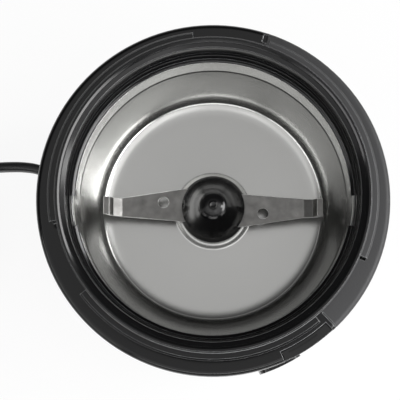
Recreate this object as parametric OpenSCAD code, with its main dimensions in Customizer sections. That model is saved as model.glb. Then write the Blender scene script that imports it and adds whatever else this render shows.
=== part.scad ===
// Electric spice grinder with its lid off: a steel bowl with a formed two-arm blade, driven by a
// universal motor that hangs under it. Millimetres, +Z up, origin on the table under the body's axis,
// +Y away from the user, who faces the push button from -Y.

/* [Body] */
// Height of the shoulder, on which the lid's rim lands
shoulder_h = 128; // [127:1:138]
// Outer radius of the shoulder
shoulder_r = 48.3; // [47.8:0.1:50]
// Outer radius where the body stands on its base
base_r = 46.3; // [45.5:0.1:48]
// Outer radius at the waist
waist_r = 44.9; // [44.6:0.1:46]
// Height of the waist
waist_z = 55; // [45:1:70]
// Wall of the outer shell
shell_wall = 2.2; // [1.8:0.1:2.4]
// Edge radius of the shoulder
shoulder_edge = 1.4; // [0.5:0.1:2]

/* [Collar] */
// Outer radius of the bayonet barrel
barrel_r = 42.3; // [42:0.1:43]
// Height of the barrel above the shoulder
barrel_h = 11.5; // [10:0.5:14]
// Inner radius at the barrel's top edge
mouth_r = 40.75; // [40.6:0.05:41.5]
// Inner radius of the barrel's wall
throat_r = 39.35; // [39.2:0.05:40.4]
// Number of bayonet lugs
lug_count = 3; // [3:1:4]
// Angle of the gap between two lugs
lug_gap = 27.5; // [20:0.5:35]
// Azimuth of the first gap's middle
lug_phase = 83.4; // [70:0.1:95]
// How far a lug stands out from the barrel
lug_reach = 2.05; // [1:0.05:2.6]
// Height of a lug's top above the shoulder
lug_top = 9.2; // [8:0.1:10]
// Thickness of a lug
lug_t = 2; // [1.4:0.1:2.4]

/* [Bowl] */
// Inner radius of the steel bowl at its rim
bowl_r = 37.2; // [36:0.1:37.4]
// Depth of the bowl from rim to floor
bowl_depth = 32.4; // [28:0.2:33]
// Sheet thickness of the bowl
bowl_wall = 0.6; // [0.5:0.1:0.8]
// Inner radius of the corner between wall and floor
bowl_fillet = 9; // [3:0.5:10]
// Radius of the raised ring of the floor round the hub
boss_r = 11.5; // [11:0.1:13]
// Width of a folded tab of the rim
tab_w = 7.3; // [5:0.1:10]

/* [Blade] */
// Radius of the blade's tips
blade_r = 31.1; // [29:0.1:32]
// Thickness of the blade
blade_t = 1.3; // [1:0.1:1.6]
// Height of the blade's underside above the bowl's floor
blade_lift = 7.4; // [6.8:0.1:9]
// Radius where the arm starts to bend up
bend_r = 26.2; // [24:0.1:26.5]
// Height of the turned-up tip over the arm
tip_rise = 4; // [3:0.1:5]
// Radius of the hole in each arm
blade_hole_r = 1.55; // [1:0.05:2]
// Distance of that hole from the axis
blade_hole_at = 14.2; // [13:0.1:17]
// Radius of the hub's skirt
hub_r = 9.6; // [9:0.05:10.5]
// Radius of the hub's domed cap
cap_r = 8.9; // [8:0.05:9.2]
// Height of the domed cap
cap_h = 7.6; // [6.5:0.1:9]

/* [Motor] */
// Radius of the motor's shaft
shaft_r = 3; // [2.5:0.1:3.2]
// Height of the stack of laminations
stack_h = 26; // [22:1:28]
// Width of the stator along X
stator_w = 50; // [49:0.5:52]
// Width of the stator along Y
stator_d = 38; // [37:0.5:39]
// Radius of the armature
armature_r = 14; // [13.6:0.1:14]
// Air gap between armature and stator
air_gap = 0.5; // [0.4:0.05:0.7]
// Number of armature slots
slot_count = 12; // [8:1:12]
// Radius of the commutator
commutator_r = 8.5; // [7.5:0.1:9]
// Height of the commutator
commutator_h = 12; // [11:0.5:12.5]
// Radius of the cooling fan
fan_r = 21; // [16:0.5:23]
// Number of fan blades
fan_blades = 12; // [7:1:16]

/* [Switches] */
// Azimuth of the push button
button_az = -65; // [-70:1:-65]
// Height of the button's middle
button_z = 64; // [58:0.5:65]
// Width of the button
button_w = 13.2; // [11:0.1:13.6]
// Height of the button's face
button_h = 18; // [14:0.5:18]
// How far the button's face stands out from the axis
button_face = 48.9; // [48:0.1:49.4]
// Travel of the button
button_travel = 2.5; // [1.5:0.1:2.8]
// First and last azimuth of the lid's interlock key
key_az = [-66.5, -48];
// Height of the key's block
key_h = 5; // [4:0.1:5.4]
// Travel of the key when the lid is locked
key_travel = 2.5; // [1.5:0.1:2.6]

/* [Base] */
// Thickness of the base plate
base_t = 2.4; // [2:0.1:3]
// How far the rubber feet hold the base plate up
foot_h = 1.6; // [1.4:0.1:3]
// Radius of a foot
foot_r = 6; // [5:0.5:7]
// Distance of the feet from the axis
foot_at = 33.5; // [31:0.5:34]
// Number of radial vent slots
vent_count = 18; // [10:1:20]

/* [Power cord] */
// Azimuth at which the cord leaves the body
cord_az = 158; // [156:1:160]
// Height at which the cord leaves the body
cord_z = 12; // [11.5:0.5:13]
// Thickness of the flat cord
cord_t = 3.4; // [3:0.1:3.6]
// Width of the flat cord, which stands on edge
cord_w = 5.4; // [5:0.1:5.4]
// Distance from the axis to the strain relief's tip
relief_end = 60; // [56:0.5:60]

/* [Hidden] */
$fn = 64;
fit = 0.3; // clearance between pieces that don't touch
slip = 0.05; // clearance of a running or sliding fit
thin = 0.02; // clearance between a screw and its pilot hole
over = 1; // how far a cut runs past a face
far = 200; // longer than the body, for cuts that take everything on one side

// Heights, worked out from the shoulder down
barrel_top = shoulder_h + barrel_h;
neck_z = shoulder_h - 10; // lower edge of the collar's skirt
deck_under_shoulder = 2.5; // thickness of the shoulder's plate
lip_z = shoulder_h + 1; // underside of the lip that holds the bowl down
gasket_t = 0.6;
rim_z = lip_z - gasket_t; // top face of the bowl's flange
floor_z = rim_z - bowl_depth;
pan_z = floor_z - bowl_wall; // underside of the bowl
deck_ring_h = 4.4;
deck_top = pan_z - deck_ring_h;
deck_t = 2.5;
deck_z = deck_top - deck_t;
bracket_t = 2;
grommet_lip = 1.4;
motor_drop = 5.5; // from the deck to the top of the upper bracket
upper_bracket_z = deck_z - motor_drop - bracket_t;
coil_end = 5; // how far the windings stand out of the stack
upper_leg = coil_end + 2;
stack_top = upper_bracket_z - upper_leg;
stack_z = stack_top - stack_h;
lower_leg = 21; // bay for the commutator and brushes
lower_bracket_z = stack_z - lower_leg - bracket_t;
commutator_z = stack_z - coil_end - 1 - commutator_h;
riser_h = 2; // the commutator's collar, to which the winding's wires run
brush_z = commutator_z + (commutator_h - riser_h) / 2;
bearing_h = 8;
bearing_r = 6;
fan_h = 10;
fan_z = lower_bracket_z - 5 - fan_h;
shaft_z = fan_z - 1;
blade_z = floor_z + blade_lift;
skirt_gap = 0.5; // running gap between the hub and the raised ring
boss_h = 0.8;
skirt_z = floor_z + boss_h + skirt_gap;
cap_z = blade_z + blade_t;
shaft_end = cap_z + cap_h - 2.2;

// Body
bottom_edge = 0.8; // chamfer at the shell's bottom edge
shell_z = foot_h - 0.4; // bottom edge of the shell
base_top = foot_h + base_t;
neck_r = shoulder_r - 0.4; // shell radius under the collar's skirt
skirt_wall = 2.2;
skirt_r = shoulder_r - skirt_wall; // inner radius of the collar's skirt
spigot_r = skirt_r - 0.25;
spigot_in = spigot_r - 2.15;
spigot_top = shoulder_h - deck_under_shoulder - 0.7;
sleeve_in = bowl_r + bowl_wall + 1.4; // inner radius of the collar's sleeve round the bowl
sleeve_out = sleeve_in + 1.6;
lip_r = bowl_r + 0.15;

// Bowl
low_r = bowl_r - 0.7; // the wall steps in a little under its bead
flange_r = sleeve_in - fit;
tab_angle = asin(tab_w / 2 / bowl_r);
tab_slant = 5.5; // the tabs sit this far to the front of the X axis
tab_starts = [-tab_angle - tab_slant, 180 - tab_angle + tab_slant];
tab_top = lip_z + 0.9;
tab_reach = 0.95; // how far a folded tab reaches over the lip
seal_r = 5; // the shaft seal's seat in the bowl's floor

// Deck under the bowl
deck_bore = 9; // radius of its middle hole
deck_bore_rim = 2;
deck_ring_in = low_r - bowl_fillet - 1.5; // the ring that carries the flat of the bowl's floor
deck_ring_t = 2.4;

// Blade: widths of an arm at its root and its tip, and the side view of its bent tip
arm_root = 8.5;
arm_back = [3.9, 2.1]; // from the arm's axis to its trailing edge
arm_lead = [5.4, 2.8]; // from the arm's axis to its leading edge
eye_r = 6.5; // the blade's middle, round the spindle
ramp = [3.3, 1.4]; // run and rise of the gentle bend before the riser
riser_len = 0.9;
arm_path = [
    [bend_r, 0], [bend_r + ramp[0], ramp[1]], [bend_r + ramp[0] + riser_len, tip_rise], [blade_r, tip_rise]
];
spindle_r = shaft_r - 0.5; // the shaft's end, which the blade and cap sit on

// Radius of the shell's outside at height z
function body_r(z) = z < waist_z
    ? waist_r + (base_r - waist_r) * pow((waist_z - z) / waist_z, 2)
    : waist_r + (neck_r - waist_r) * pow((z - waist_z) / (neck_z - waist_z), 2);
function shell_in(z) = body_r(z) - shell_wall;

// Screws that hold shell, deck and collar together, and their bosses
collar_screw_az = [30, 150, 270];
collar_screw_at = sleeve_out + 0.1;
collar_boss_r = 2.5;
collar_boss_h = 12;
collar_grip = 9; // length of a screw in its boss
collar_head = [2.2, 1.8]; // radius and height of a screw's head
collar_pilot_r = 1.25;
ledge_t = 3.5;
ledge_r = 3.4;

// Base
rim_h = 4; // wall of the base plate inside the shell
rim_t = 1.8;
rim_r = min(shell_in(shell_z), shell_in(base_top + rim_h)) - fit;
base_screw_az = [0, 120, 240];
base_boss_r = 4.4;
base_screw_at = rim_r - base_boss_r - 1;
shell_boss_r = 3.6;
boss_joint_z = base_top + 6; // where the base's cups meet the shell's bosses
shell_boss_h = 16;
head_seat_z = foot_h + 5; // floor of a cup, which the screw's head presses on
base_grip = 11;
head_r = 2.9;
head_h = 2.2;
screw_r = 1.25;
relief_neck_r = 4.2; // the strain relief's neck, where it passes the shell
relief_grip = 6;
relief_in = shell_in(cord_z) - 0.7 - relief_grip; // inner end of the strain relief
clamp_x = 32; // middle of the cord clamp
clamp_y = 6; // its screws, to each side of the cord
clamp_t = 2;
cord_end = clamp_x - 5;
cord_low = cord_z - cord_w / 2;
cord_high = cord_z + cord_w / 2;
foot_az = [60, 180, 300];
foot_sink = 0.6;
vent_in = 10.5; // inner end of the radial vents
vent_len = 15;
vent_w = 2;

// Push button, in its own frame: x outwards along its azimuth
button_flange = 1.2; // how far the flange laps the window
button_low = button_z - button_h / 2 - button_flange;
flange_x = sqrt(pow(shell_in(button_low), 2) - pow(button_w / 2 + button_flange, 2)) - fit;
flange_t = 1.5;
spring_x = flange_x - flange_t;
spring_len = 6;
carrier_x = spring_x - spring_len; // outer face of the switch carrier
carrier_t = 1.5;
stem_r = 2.6;
stem_x = carrier_x + 2.2; // tip of the button's stem
plunger_gap = 0.7;
plunger_x = stem_x - plunger_gap;
plunger_r = 1.2;
plunger_share = 0.8; // plunger travel over button travel
switch_x = carrier_x - carrier_t; // outer face of the power switch
switch_size = [8, 6.4, 18];
rail_in = button_w / 2 + button_flange + 0.4; // the shell's rails, which hold the carrier
rail_slot = 1.5;
rail_t = 1.1;

// Interlock key, its rod and the safety switch
key_in = shoulder_r - 2.65;
key_out = shoulder_r - 0.2;
key_z = shoulder_h - key_h;
rod_az = -50.2;
rod_r = [sleeve_out + 0.5, sleeve_out + 2];
rod_w = 2.8;
bridge_t = 2.6;
bridge_z = shoulder_h - deck_under_shoulder - 0.3 - bridge_t;
bridge_az = [-60, -48.6];
rod_foot_t = 1.5;
rod_foot_z = deck_z - 0.6 - rod_foot_t - 1;
safety_az = -44;
safety_size = [5.8, 12.8, 6.5];
safety_x = rod_r[0] - 6.2; // inner face of the safety switch
safety_plunger_at = safety_x + safety_size[0] / 2;
safety_travel = key_travel * plunger_share;
safety_top = rod_foot_z - plunger_gap - safety_travel - 0.3;
safety_plunger_r = 0.75;
safety_pin = [3.2, 4.9, 0.9]; // a locating pin's place across, depth below the top, and radius
key_spring_az = -57.3;
key_spring_at = sleeve_out + 1.3;
key_spring_r = 0.95;
key_spring_len = 10;
key_shelf_z = bridge_z - key_spring_len;

// Motor
bore_r = armature_r + air_gap;
bolt_at = stator_w / 2 - 2.7;
bolt_r = 1.5;
bolt_head = [2.8, 1.8];
leg_r = 2.8; // legs of the brackets, round the bolts
coil_x = [armature_r + 0.8, bolt_at - leg_r - fit]; // a field coil's faces along X
coil_y = [8, 14];
grommet_r = 4;
grommet_flange_r = grommet_r + 1.4;
mount_at = bolt_at + leg_r + grommet_flange_r; // grommets of the upper bracket
mount_head = [3.4, 1.8];
post_r = 3.4;
upper_bush_z = upper_bracket_z - 1; // clear of the winding under it
lower_bush_z = lower_bracket_z - 4; // clear of the commutator over it
upper_strap = [mount_at + 6.5, 9]; // half length and half width
lower_strap = [bolt_at + 5, 8];
slot_r = 2;
slot_at = armature_r - slot_r - 2.4; // middle of a slot's round end
brush_w = 6;
brush_h = 6.5;
brush_len = 11;
brush_spring_r = 2.2;
brush_wire_r = 0.3;
holder_wall = 1.2;
holder_len = 20;
holder_x = commutator_r + 0.8;

// Power cord: the route's points, chosen by hand, from the strain relief to the coil
cord_route = [
    [-55.8, 22.5, 12], [-58.6, 23.6, 12], [-62, 24.5, 11.8], [-66, 25, 11], [-70, 25.2, 9.7],
    [-74, 25.3, 8], [-78, 25.4, 6.3], [-82, 25.5, 4.7], [-86, 25.5, 3.6], [-90, 25.5, 3],
    [-95, 25.5, 2.8], [-100, 25.5, 2.7], [-104, 25.5, 2.7]
];
// From the coil's upper layer to the plug
plug_route = [
    [-146.1, -7, 8.1], [-146.4, -13, 8.1], [-146.8, -20, 8], [-147, -27, 7.8], [-146.4, -33, 7.5],
    [-144.4, -38, 7.2], [-141, -42.3, 6.9], [-136.7, -45.6, 6.7], [-132, -47.5, 6.5],
    [-129.5, -48, 6.5], [-127, -48, 6.5]
];
coil_centre = [-112, -5.1];
coil_r = 27; // middle of the turns
coil_lanes = 3; // turns side by side
coil_layers = 2; // turns on top of each other
coil_pitch = 3.6;
plug_at = [-127, -48, 6.5];
plug_tail = 10;
plug_len = 22;
plug_w = 19;
plug_t = 13;
pin_gap = 12.7;
pin_len = 16.5;
pin_t = 1.5;

black = "#26272a";
gloss_black = "#151617";
steel = "#c9cacb";
copper = "#b4652e";
iron = "#74777a";
zinc = "#a9adb0";
white = "#d9d9d4";
red = "#b03a2e";

// ---- Shared shapes ----

module at_azimuth(az) rotate([0, 0, az]) children();

// A profile turned round the axis from azimuth a to azimuth b
module sweep(a, b) rotate([0, 0, a]) rotate_extrude(angle = b - a) children();

// A ring's profile: radii from a to b, heights from z to z + h
module band(a, b, z, h) translate([a, z]) square([b - a, h]);

module tube(outer, inner, z, h) {
    difference() {
        translate([0, 0, z]) cylinder(r = outer, h = h);
        translate([0, 0, z - over]) cylinder(r = inner, h = h + 2 * over);
    }
}

// What lies to the left of the axis in a profile that is turned round it
module left_half() translate([-far, 0]) square([far, far]);

// A block that is centred on y, in a piece's own frame
module block(x, y, z, size) translate([x, y - size[1] / 2, z]) cube(size);

// A rod along x, in a piece's own frame
module rod_x(x, length, r) translate([x, 0, 0]) rotate([0, 90, 0]) cylinder(r = r, h = length);

// A rounded rectangle that stands on the yz plane and is drawn along x
module slab_x(x, length, w, h, r) {
    translate([x, 0, 0]) rotate([90, 0, 90]) linear_extrude(length) rounded(w, h, r);
}

module rounded(w, h, r) {
    square([w - 2 * r, h], center = true);
    square([w, h - 2 * r], center = true);
    for (i = [-1, 1], j = [-1, 1]) translate([i * (w / 2 - r), j * (h / 2 - r)]) circle(r);
}

// Points of an arc round (x, y) from angle a to angle b
function arc(x, y, r, a, b, n = 8) = [
    for (i = [0:n]) let (t = a + (b - a) * i / n) [x + r * cos(t), y + r * sin(t)]
];

// Unit vector, and the frame that follows a route's point
function unit(v) = v / norm(v);
function heading(p, i) = unit(p[min(i + 1, len(p) - 1)] - p[max(i - 1, 0)]);
function side_of(t) = unit(cross([0, 0, 1], t));

// A closed tube along a route, w wide across and h high, with flat ends
module swept(p, w, h, sides = 8) {
    ring = [for (k = [0:sides - 1]) [w / 2 * cos(360 * k / sides), h / 2 * sin(360 * k / sides)]];
    points = [
        for (i = [0:len(p) - 1]) let (t = heading(p, i), s = side_of(t), u = cross(t, s))
            for (q = ring) p[i] + q[0] * s + q[1] * u
    ];
    last = (len(p) - 1) * sides;
    walls = [
        for (i = [0:len(p) - 2], k = [0:sides - 1]) let (m = (k + 1) % sides, b = i * sides)
            each [[b + k, b + m, b + sides + m], [b + k, b + sides + m, b + sides + k]]
    ];
    start_cap = [[for (k = [sides - 1:-1:0]) k]];
    end_cap = [[for (k = [0:sides - 1]) last + k]];
    polyhedron(points, concat(walls, start_cap, end_cap));
}

// A coil spring along z: mean radius r, wire radius w, n turns in a length l
module coil_spring(r, w, n, l) {
    steps = 12;
    sides = 6;
    count = n * steps;
    rise = (l - 2 * w) / count;
    points = [
        for (i = [0:count]) let (a = 360 * i / steps, c = [cos(a), sin(a), 0])
            for (k = [0:sides - 1]) let (b = 360 * k / sides)
                c * (r + w * cos(b)) + [0, 0, w + i * rise + w * sin(b)]
    ];
    walls = [
        for (i = [0:count - 1], k = [0:sides - 1]) let (m = (k + 1) % sides, b = i * sides)
            each [[b + k, b + sides + m, b + m], [b + k, b + sides + k, b + sides + m]]
    ];
    start_cap = [[for (k = [0:sides - 1]) k]];
    end_cap = [[for (k = [sides - 1:-1:0]) count * sides + k]];
    polyhedron(points, concat(walls, start_cap, end_cap));
}

// A pan-head screw that points up from z, with a cross recess under its head
module screw_up(z, shank, length, head = head_r, tall = head_h) {
    difference() {
        union() {
            translate([0, 0, z - tall]) cylinder(r = head, h = tall);
            translate([0, 0, z - over]) cylinder(r = shank, h = length + over);
        }
        for (a = [0, 90]) rotate([0, 0, a])
            block(-head * 0.6, 0, z - tall - over, [head * 1.2, 0.7, over + tall / 2]);
    }
}

// ---- Shell, collar and deck ----

module housing_shell() {
    low = [for (i = [0:6]) shell_z + bottom_edge + (waist_z - shell_z - bottom_edge) * i / 6];
    high = [for (i = [1:9]) waist_z + (neck_z - waist_z) * i / 9];
    inside = [for (z = concat(low, high)) if (z < neck_z - 4) z];
    outline = concat(
        [[body_r(shell_z) - bottom_edge, shell_z]],
        [for (z = concat(low, high)) [body_r(z), z]],
        [[spigot_r, neck_z], [spigot_r, spigot_top], [spigot_in, spigot_top], [spigot_in, neck_z]],
        [for (i = [len(inside) - 1:-1:0]) [shell_in(inside[i]), inside[i]]],
        [[shell_in(shell_z), shell_z]]
    );
    color(black) difference() {
        union() {
            rotate_extrude($fn = 128) polygon(outline);
            for (a = collar_screw_az) at_azimuth(a) collar_ledge();
            for (a = base_screw_az) at_azimuth(a) shell_boss();
            at_azimuth(button_az) for (side = [-1, 1]) scale([1, side, 1]) carrier_rail();
            sweep(key_spring_az - 3, key_spring_az + 3)
                band(sleeve_out + 0.4, shell_in(key_shelf_z) + shell_wall / 2, key_shelf_z - 1.5, 1.5);
        }
        at_azimuth(button_az) translate([0, 0, button_z])
            slab_x(shell_in(button_z) - 3, 10, button_w + 2 * fit, button_h + 2 * fit, 3 + fit);
        at_azimuth(cord_az) translate([0, 0, cord_z]) rod_x(base_r - 8, 12, relief_neck_r + slip);
        sweep(key_az[0] - 0.5, key_az[1] + 0.5)
            band(spigot_in - over, spigot_r + over, key_z - key_travel - 0.7, 20);
        for (a = collar_screw_az) at_azimuth(a) translate([collar_screw_at, 0, deck_z - 10])
            cylinder(r = collar_pilot_r + fit, h = 12);
        for (a = base_screw_az) at_azimuth(a) translate([base_screw_at, 0, boss_joint_z - over])
            cylinder(r = screw_r, h = base_grip + 2 + over);
    }
}

// A ledge of the shell that carries the deck, with a screw hole
module collar_ledge() {
    wall_r = shell_in(deck_z - ledge_t) + shell_wall / 2;
    intersection() {
        translate([0, 0, deck_z - ledge_t]) union() {
            translate([collar_screw_at, 0, 0]) cylinder(r = ledge_r, h = ledge_t);
            block(collar_screw_at, 0, 0, [wall_r - collar_screw_at + over, 2 * ledge_r, ledge_t]);
        }
        translate([0, 0, deck_z - ledge_t - over]) cylinder(r = wall_r, h = ledge_t + 2 * over);
    }
}

// A screw boss of the shell, webbed to the wall
module shell_boss() {
    wall_r = min(shell_in(boss_joint_z), shell_in(boss_joint_z + shell_boss_h)) + shell_wall / 2;
    translate([base_screw_at, 0, boss_joint_z]) cylinder(r = shell_boss_r, h = shell_boss_h);
    block(base_screw_at, 0, boss_joint_z, [wall_r - base_screw_at, 2.6, shell_boss_h]);
}

// One of the two rails that hold the switch carrier, and guide the button's flange
module carrier_rail() {
    out = shell_in(button_z) + shell_wall / 2;
    rail_h = button_h + 2 * button_flange;
    back = carrier_x - carrier_t;
    far = rail_in + rail_slot + rail_t;
    wall_x = sqrt(out * out - far * far);
    translate([0, 0, button_z - rail_h / 2]) linear_extrude(rail_h) polygon([
        [back - slip - 1.3, rail_in], [back - slip - 1.3, far], [wall_x, far],
        [sqrt(out * out - rail_in * rail_in), rail_in], [carrier_x + slip, rail_in],
        [carrier_x + slip, rail_in + rail_slot], [back - slip, rail_in + rail_slot],
        [back - slip, rail_in]
    ]);
}

// Collar: shoulder, bayonet barrel with lugs, funnel, and the sleeve round the bowl
module collar_profile() {
    edge = shoulder_edge;
    plate_z = shoulder_h - deck_under_shoulder;
    polygon(concat(
        [[sleeve_in, deck_top], [sleeve_out, deck_top], [sleeve_out, plate_z], [skirt_r, plate_z],
        [skirt_r, neck_z], [shoulder_r, neck_z]],
        arc(shoulder_r - edge, shoulder_h - edge, edge, 0, 90),
        [[barrel_r, shoulder_h], [barrel_r, barrel_top - 0.3], [barrel_r - 0.3, barrel_top],
        [mouth_r, barrel_top], [throat_r + 0.1, barrel_top - 0.55], [throat_r, barrel_top - 0.9],
        [throat_r - 0.1, lip_z + 3.6], [throat_r - 0.62, lip_z + 3], [throat_r - 0.8, lip_z + 1.7],
        [lip_r + 0.9, lip_z + 0.75], [lip_r + 0.2, lip_z + 0.35], [lip_r, lip_z + 0.15], [lip_r, lip_z],
        [sleeve_in, lip_z]]
    ));
}

module lug(a, b) {
    tip = barrel_r + lug_reach;
    low = shoulder_h + lug_top - lug_t;
    sweep(a, b) polygon([
        [barrel_r - over, low], [tip - 0.3, low], [tip, low + 0.3], [tip, low + lug_t - 0.5],
        [tip - 0.5, low + lug_t], [barrel_r - over, low + lug_t]
    ]);
    sweep(b - 2.2, b - 0.4)
        band(barrel_r - over, tip - 0.4, shoulder_h - over, lug_top - lug_t + 1.5 * over);
}

module top_collar() {
    pitch = 360 / lug_count;
    color(black) difference() {
        union() {
            rotate_extrude($fn = 128) collar_profile();
            for (i = [0:lug_count - 1])
                lug(lug_phase + lug_gap / 2 + i * pitch, lug_phase - lug_gap / 2 + (i + 1) * pitch);
            for (a = collar_screw_az) at_azimuth(a) collar_boss();
        }
        sweep(key_az[0], key_az[1])
            band(key_in - fit, shoulder_r + over, key_z - key_travel - 0.4, key_h + key_travel + 3);
        parting_groove();
        for (a = tab_starts) sweep(a - 0.4, a + 2 * tab_angle + 0.4) {
            band(lip_r - over, bowl_r + bowl_wall + 0.2, lip_z - over, 4);
            band(lip_r - over, bowl_r + tab_reach + 0.2, tab_top - bowl_wall + 0.1 - thin, 4);
        }
        at_azimuth(lug_phase + 255) block(barrel_r + 0.5, 0, shoulder_h - 3, [1.7, 1.7, 3 + over]);
        at_azimuth(lug_phase - 11.4) block(barrel_r + 3, 0, shoulder_h - 0.8, [2.2, 1.4, 2]);
        for (a = collar_screw_az) at_azimuth(a) translate([collar_screw_at, 0, deck_top - over])
            cylinder(r = collar_pilot_r, h = collar_boss_h - 1 + over);
    }
}

module collar_boss() {
    intersection() {
        translate([collar_screw_at, 0, deck_top]) cylinder(r = collar_boss_r, h = collar_boss_h);
        tube(collar_screw_at + collar_boss_r, sleeve_in + 0.8, deck_top, collar_boss_h);
    }
}

// A fine radial line across the shoulder and down the skirt, where two inserts of the mould meet
module parting_groove() {
    at_azimuth(key_az[1] + 1.5) {
        block(barrel_r + 0.6, 0, shoulder_h - 0.35, [shoulder_r, 0.35, 1]);
        block(shoulder_r - 0.35, 0, neck_z - over, [1, 0.35, shoulder_h - neck_z + 2 * over]);
    }
}

module support_deck() {
    deck_r = shell_in(deck_z) - fit;
    color(black) difference() {
        union() {
            rotate_extrude() {
                band(deck_bore, deck_r, deck_z, deck_t);
                band(deck_ring_in, deck_ring_in + deck_ring_t, deck_top - over, deck_ring_h + over);
                band(deck_bore, deck_bore + deck_bore_rim, deck_z - 1, deck_t + 3);
            }
            for (side = [-1, 1]) translate([side * mount_at, 0, deck_z - motor_drop + grommet_lip])
                cylinder(r = post_r, h = motor_drop - grommet_lip + over);
            for (a = [0:30:330]) at_azimuth(a + 15)
                block(deck_bore + 1.5, 0, deck_top - over, [deck_ring_in - deck_bore - 0.5, 1.4, 3]);
            at_azimuth(safety_az) safety_mount();
        }
        for (side = [-1, 1]) translate([side * mount_at, 0, deck_z - motor_drop - over])
            cylinder(r = screw_r, h = motor_drop + 1);
        for (a = collar_screw_az) at_azimuth(a) translate([collar_screw_at, 0, deck_z - over])
            cylinder(r = collar_pilot_r + fit, h = deck_t + 2 * over);
        at_azimuth(rod_az) block(rod_r[0] - fit, 0, deck_z - over, [9, rod_w + 2 * fit, deck_t + 2 * over]);
    }
}

// A tab under the deck, with two pins that the safety switch sits on
module safety_mount() {
    low = safety_top - safety_size[2];
    block(safety_x - 2, 0, low, [2, safety_size[1], deck_z - low + over]);
    for (side = [-1, 1]) translate([0, side * safety_pin[0], safety_top - safety_pin[1]])
        rod_x(safety_x - over, safety_size[0] + over, safety_pin[2]);
}

module collar_screws() {
    color(zinc) for (a = collar_screw_az) at_azimuth(a) translate([collar_screw_at, 0, 0])
        screw_up(deck_z - ledge_t, collar_pilot_r - thin, ledge_t + deck_t + collar_grip,
            collar_head[0], collar_head[1]);
}

// ---- Bowl, blade and hub ----

module grinding_bowl() {
    bead_z = rim_z - 10.6;
    f = bowl_fillet;
    w = bowl_wall;
    boss_z = floor_z + boss_h;
    color(steel) {
        rotate_extrude($fn = 128) polygon(concat(
            [[flange_r, rim_z], [bowl_r + 0.4, rim_z], [bowl_r, rim_z - 0.3], [bowl_r, bead_z + 0.8],
            [low_r, bead_z]],
            arc(low_r - f, floor_z + f, f, 0, -90),
            [[boss_r, floor_z], [boss_r - 0.8, boss_z], [seal_r, boss_z], [seal_r, boss_z - w],
            [boss_r - 1.1, boss_z - w], [boss_r - 0.3, pan_z]],
            arc(low_r - f, floor_z + f, f + w, -90, 0),
            [[low_r + w, bead_z], [bowl_r + w, bead_z + 0.8], [bowl_r + w, rim_z - w],
            [flange_r, rim_z - w]]
        ));
        for (a = tab_starts) sweep(a, a + 2 * tab_angle) {
            band(bowl_r + 0.05, bowl_r + w - 0.05, rim_z - 0.2, tab_top - rim_z + 0.1);
            band(bowl_r + 0.05, bowl_r + tab_reach, tab_top - w + 0.1, w - 0.1);
        }
    }
}

module bowl_gasket() {
    color(white) rotate_extrude() difference() {
        band(bowl_r + 0.7, flange_r, rim_z, gasket_t);
        band(bowl_r + 1, bowl_r + 1.3, rim_z + gasket_t - 0.2, 1);
    }
}

// One edge of an arm's plan, from its root out and back, and the same for the other arm
arm_plan = [
    [arm_root, arm_back[0]], [blade_r, arm_back[1]], [blade_r, -arm_lead[1]], [bend_r, -arm_lead[1]],
    [arm_root, -arm_lead[0]]
];

// Outline of both arms from above: the leading side of each tapers more than its back
module blade_plan() {
    polygon(concat(
        arm_plan, arc(0, 0, eye_r, -58, -145), [for (p = arm_plan) -p], arc(0, 0, eye_r, 122, 35)
    ));
}

// A strip of one thickness over a path: the path, then its copy moved along the mitres
function slope(p, i) = atan2(p[i + 1][1] - p[i][1], p[i + 1][0] - p[i][0]);
function mitre(p, i, t) = let (
    a = slope(p, max(i - 1, 0)), b = slope(p, min(i, len(p) - 2)), m = (a + b) / 2
) p[i] + t / cos((b - a) / 2) * [-sin(m), cos(m)];
function strip(p, t) = concat(p, [for (i = [len(p) - 1:-1:0]) mitre(p, i, t)]);

// One strip of steel: flat arms, then on each a gentle bend, a riser and a short flat end
module blade() {
    path = concat([for (i = [len(arm_path) - 1:-1:0]) [-arm_path[i][0], arm_path[i][1]]], arm_path);
    color(steel) translate([0, 0, blade_z]) difference() {
        intersection() {
            translate([0, 0, -over]) linear_extrude(tip_rise + blade_t + 2 * over) blade_plan();
            rotate([90, 0, 0]) linear_extrude(4 * arm_lead[0], center = true) polygon(strip(path, blade_t));
        }
        translate([0, 0, -over]) cylinder(r = spindle_r, h = blade_t + 2 * over);
        for (a = [0, 180]) rotate([0, 0, a]) {
            translate([blade_hole_at, -1.6, -over]) cylinder(r = blade_hole_r, h = blade_t + 2 * over);
            ground_edge();
        }
    }
}

// What the grinding of an arm's leading edge takes away, from below
module ground_edge() {
    translate([arm_root, -arm_lead[0], 0.6 * blade_t])
        rotate([0, 0, atan((arm_lead[0] - arm_lead[1]) / (bend_r - arm_root))])
            rotate([-32, 0, 0]) translate([0, -2, -3]) cube([bend_r - arm_root, 5, 3]);
}

module blade_hub() {
    color(gloss_black) rotate_extrude() difference() {
        polygon([
            [shaft_r, skirt_z], [hub_r - 0.6, skirt_z], [hub_r, skirt_z + 0.6], [hub_r, blade_z - 2],
            [hub_r - 0.9, blade_z], [spindle_r, blade_z], [spindle_r, blade_z - 1], [shaft_r, blade_z - 1]
        ]);
        band(0, hub_r - 2, skirt_z - over, over + 1.6);
    }
}

// Domed cap that screws down on the blade, with a dimple in its crown
module hub_cap() {
    side_h = 1.6;
    color(gloss_black) rotate_extrude() difference() {
        translate([0, cap_z]) polygon(concat([[0, 0], [cap_r, 0]], [
            for (i = [0:16]) let (t = 1 - i / 16) [cap_r * t, side_h + (cap_h - side_h) * (1 - t * t)]
        ]));
        translate([0, cap_z + cap_h + 0.9]) circle(1.7);
        left_half();
        band(0, spindle_r + thin, cap_z - over, shaft_end - cap_z + over);
    }
}

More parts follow.
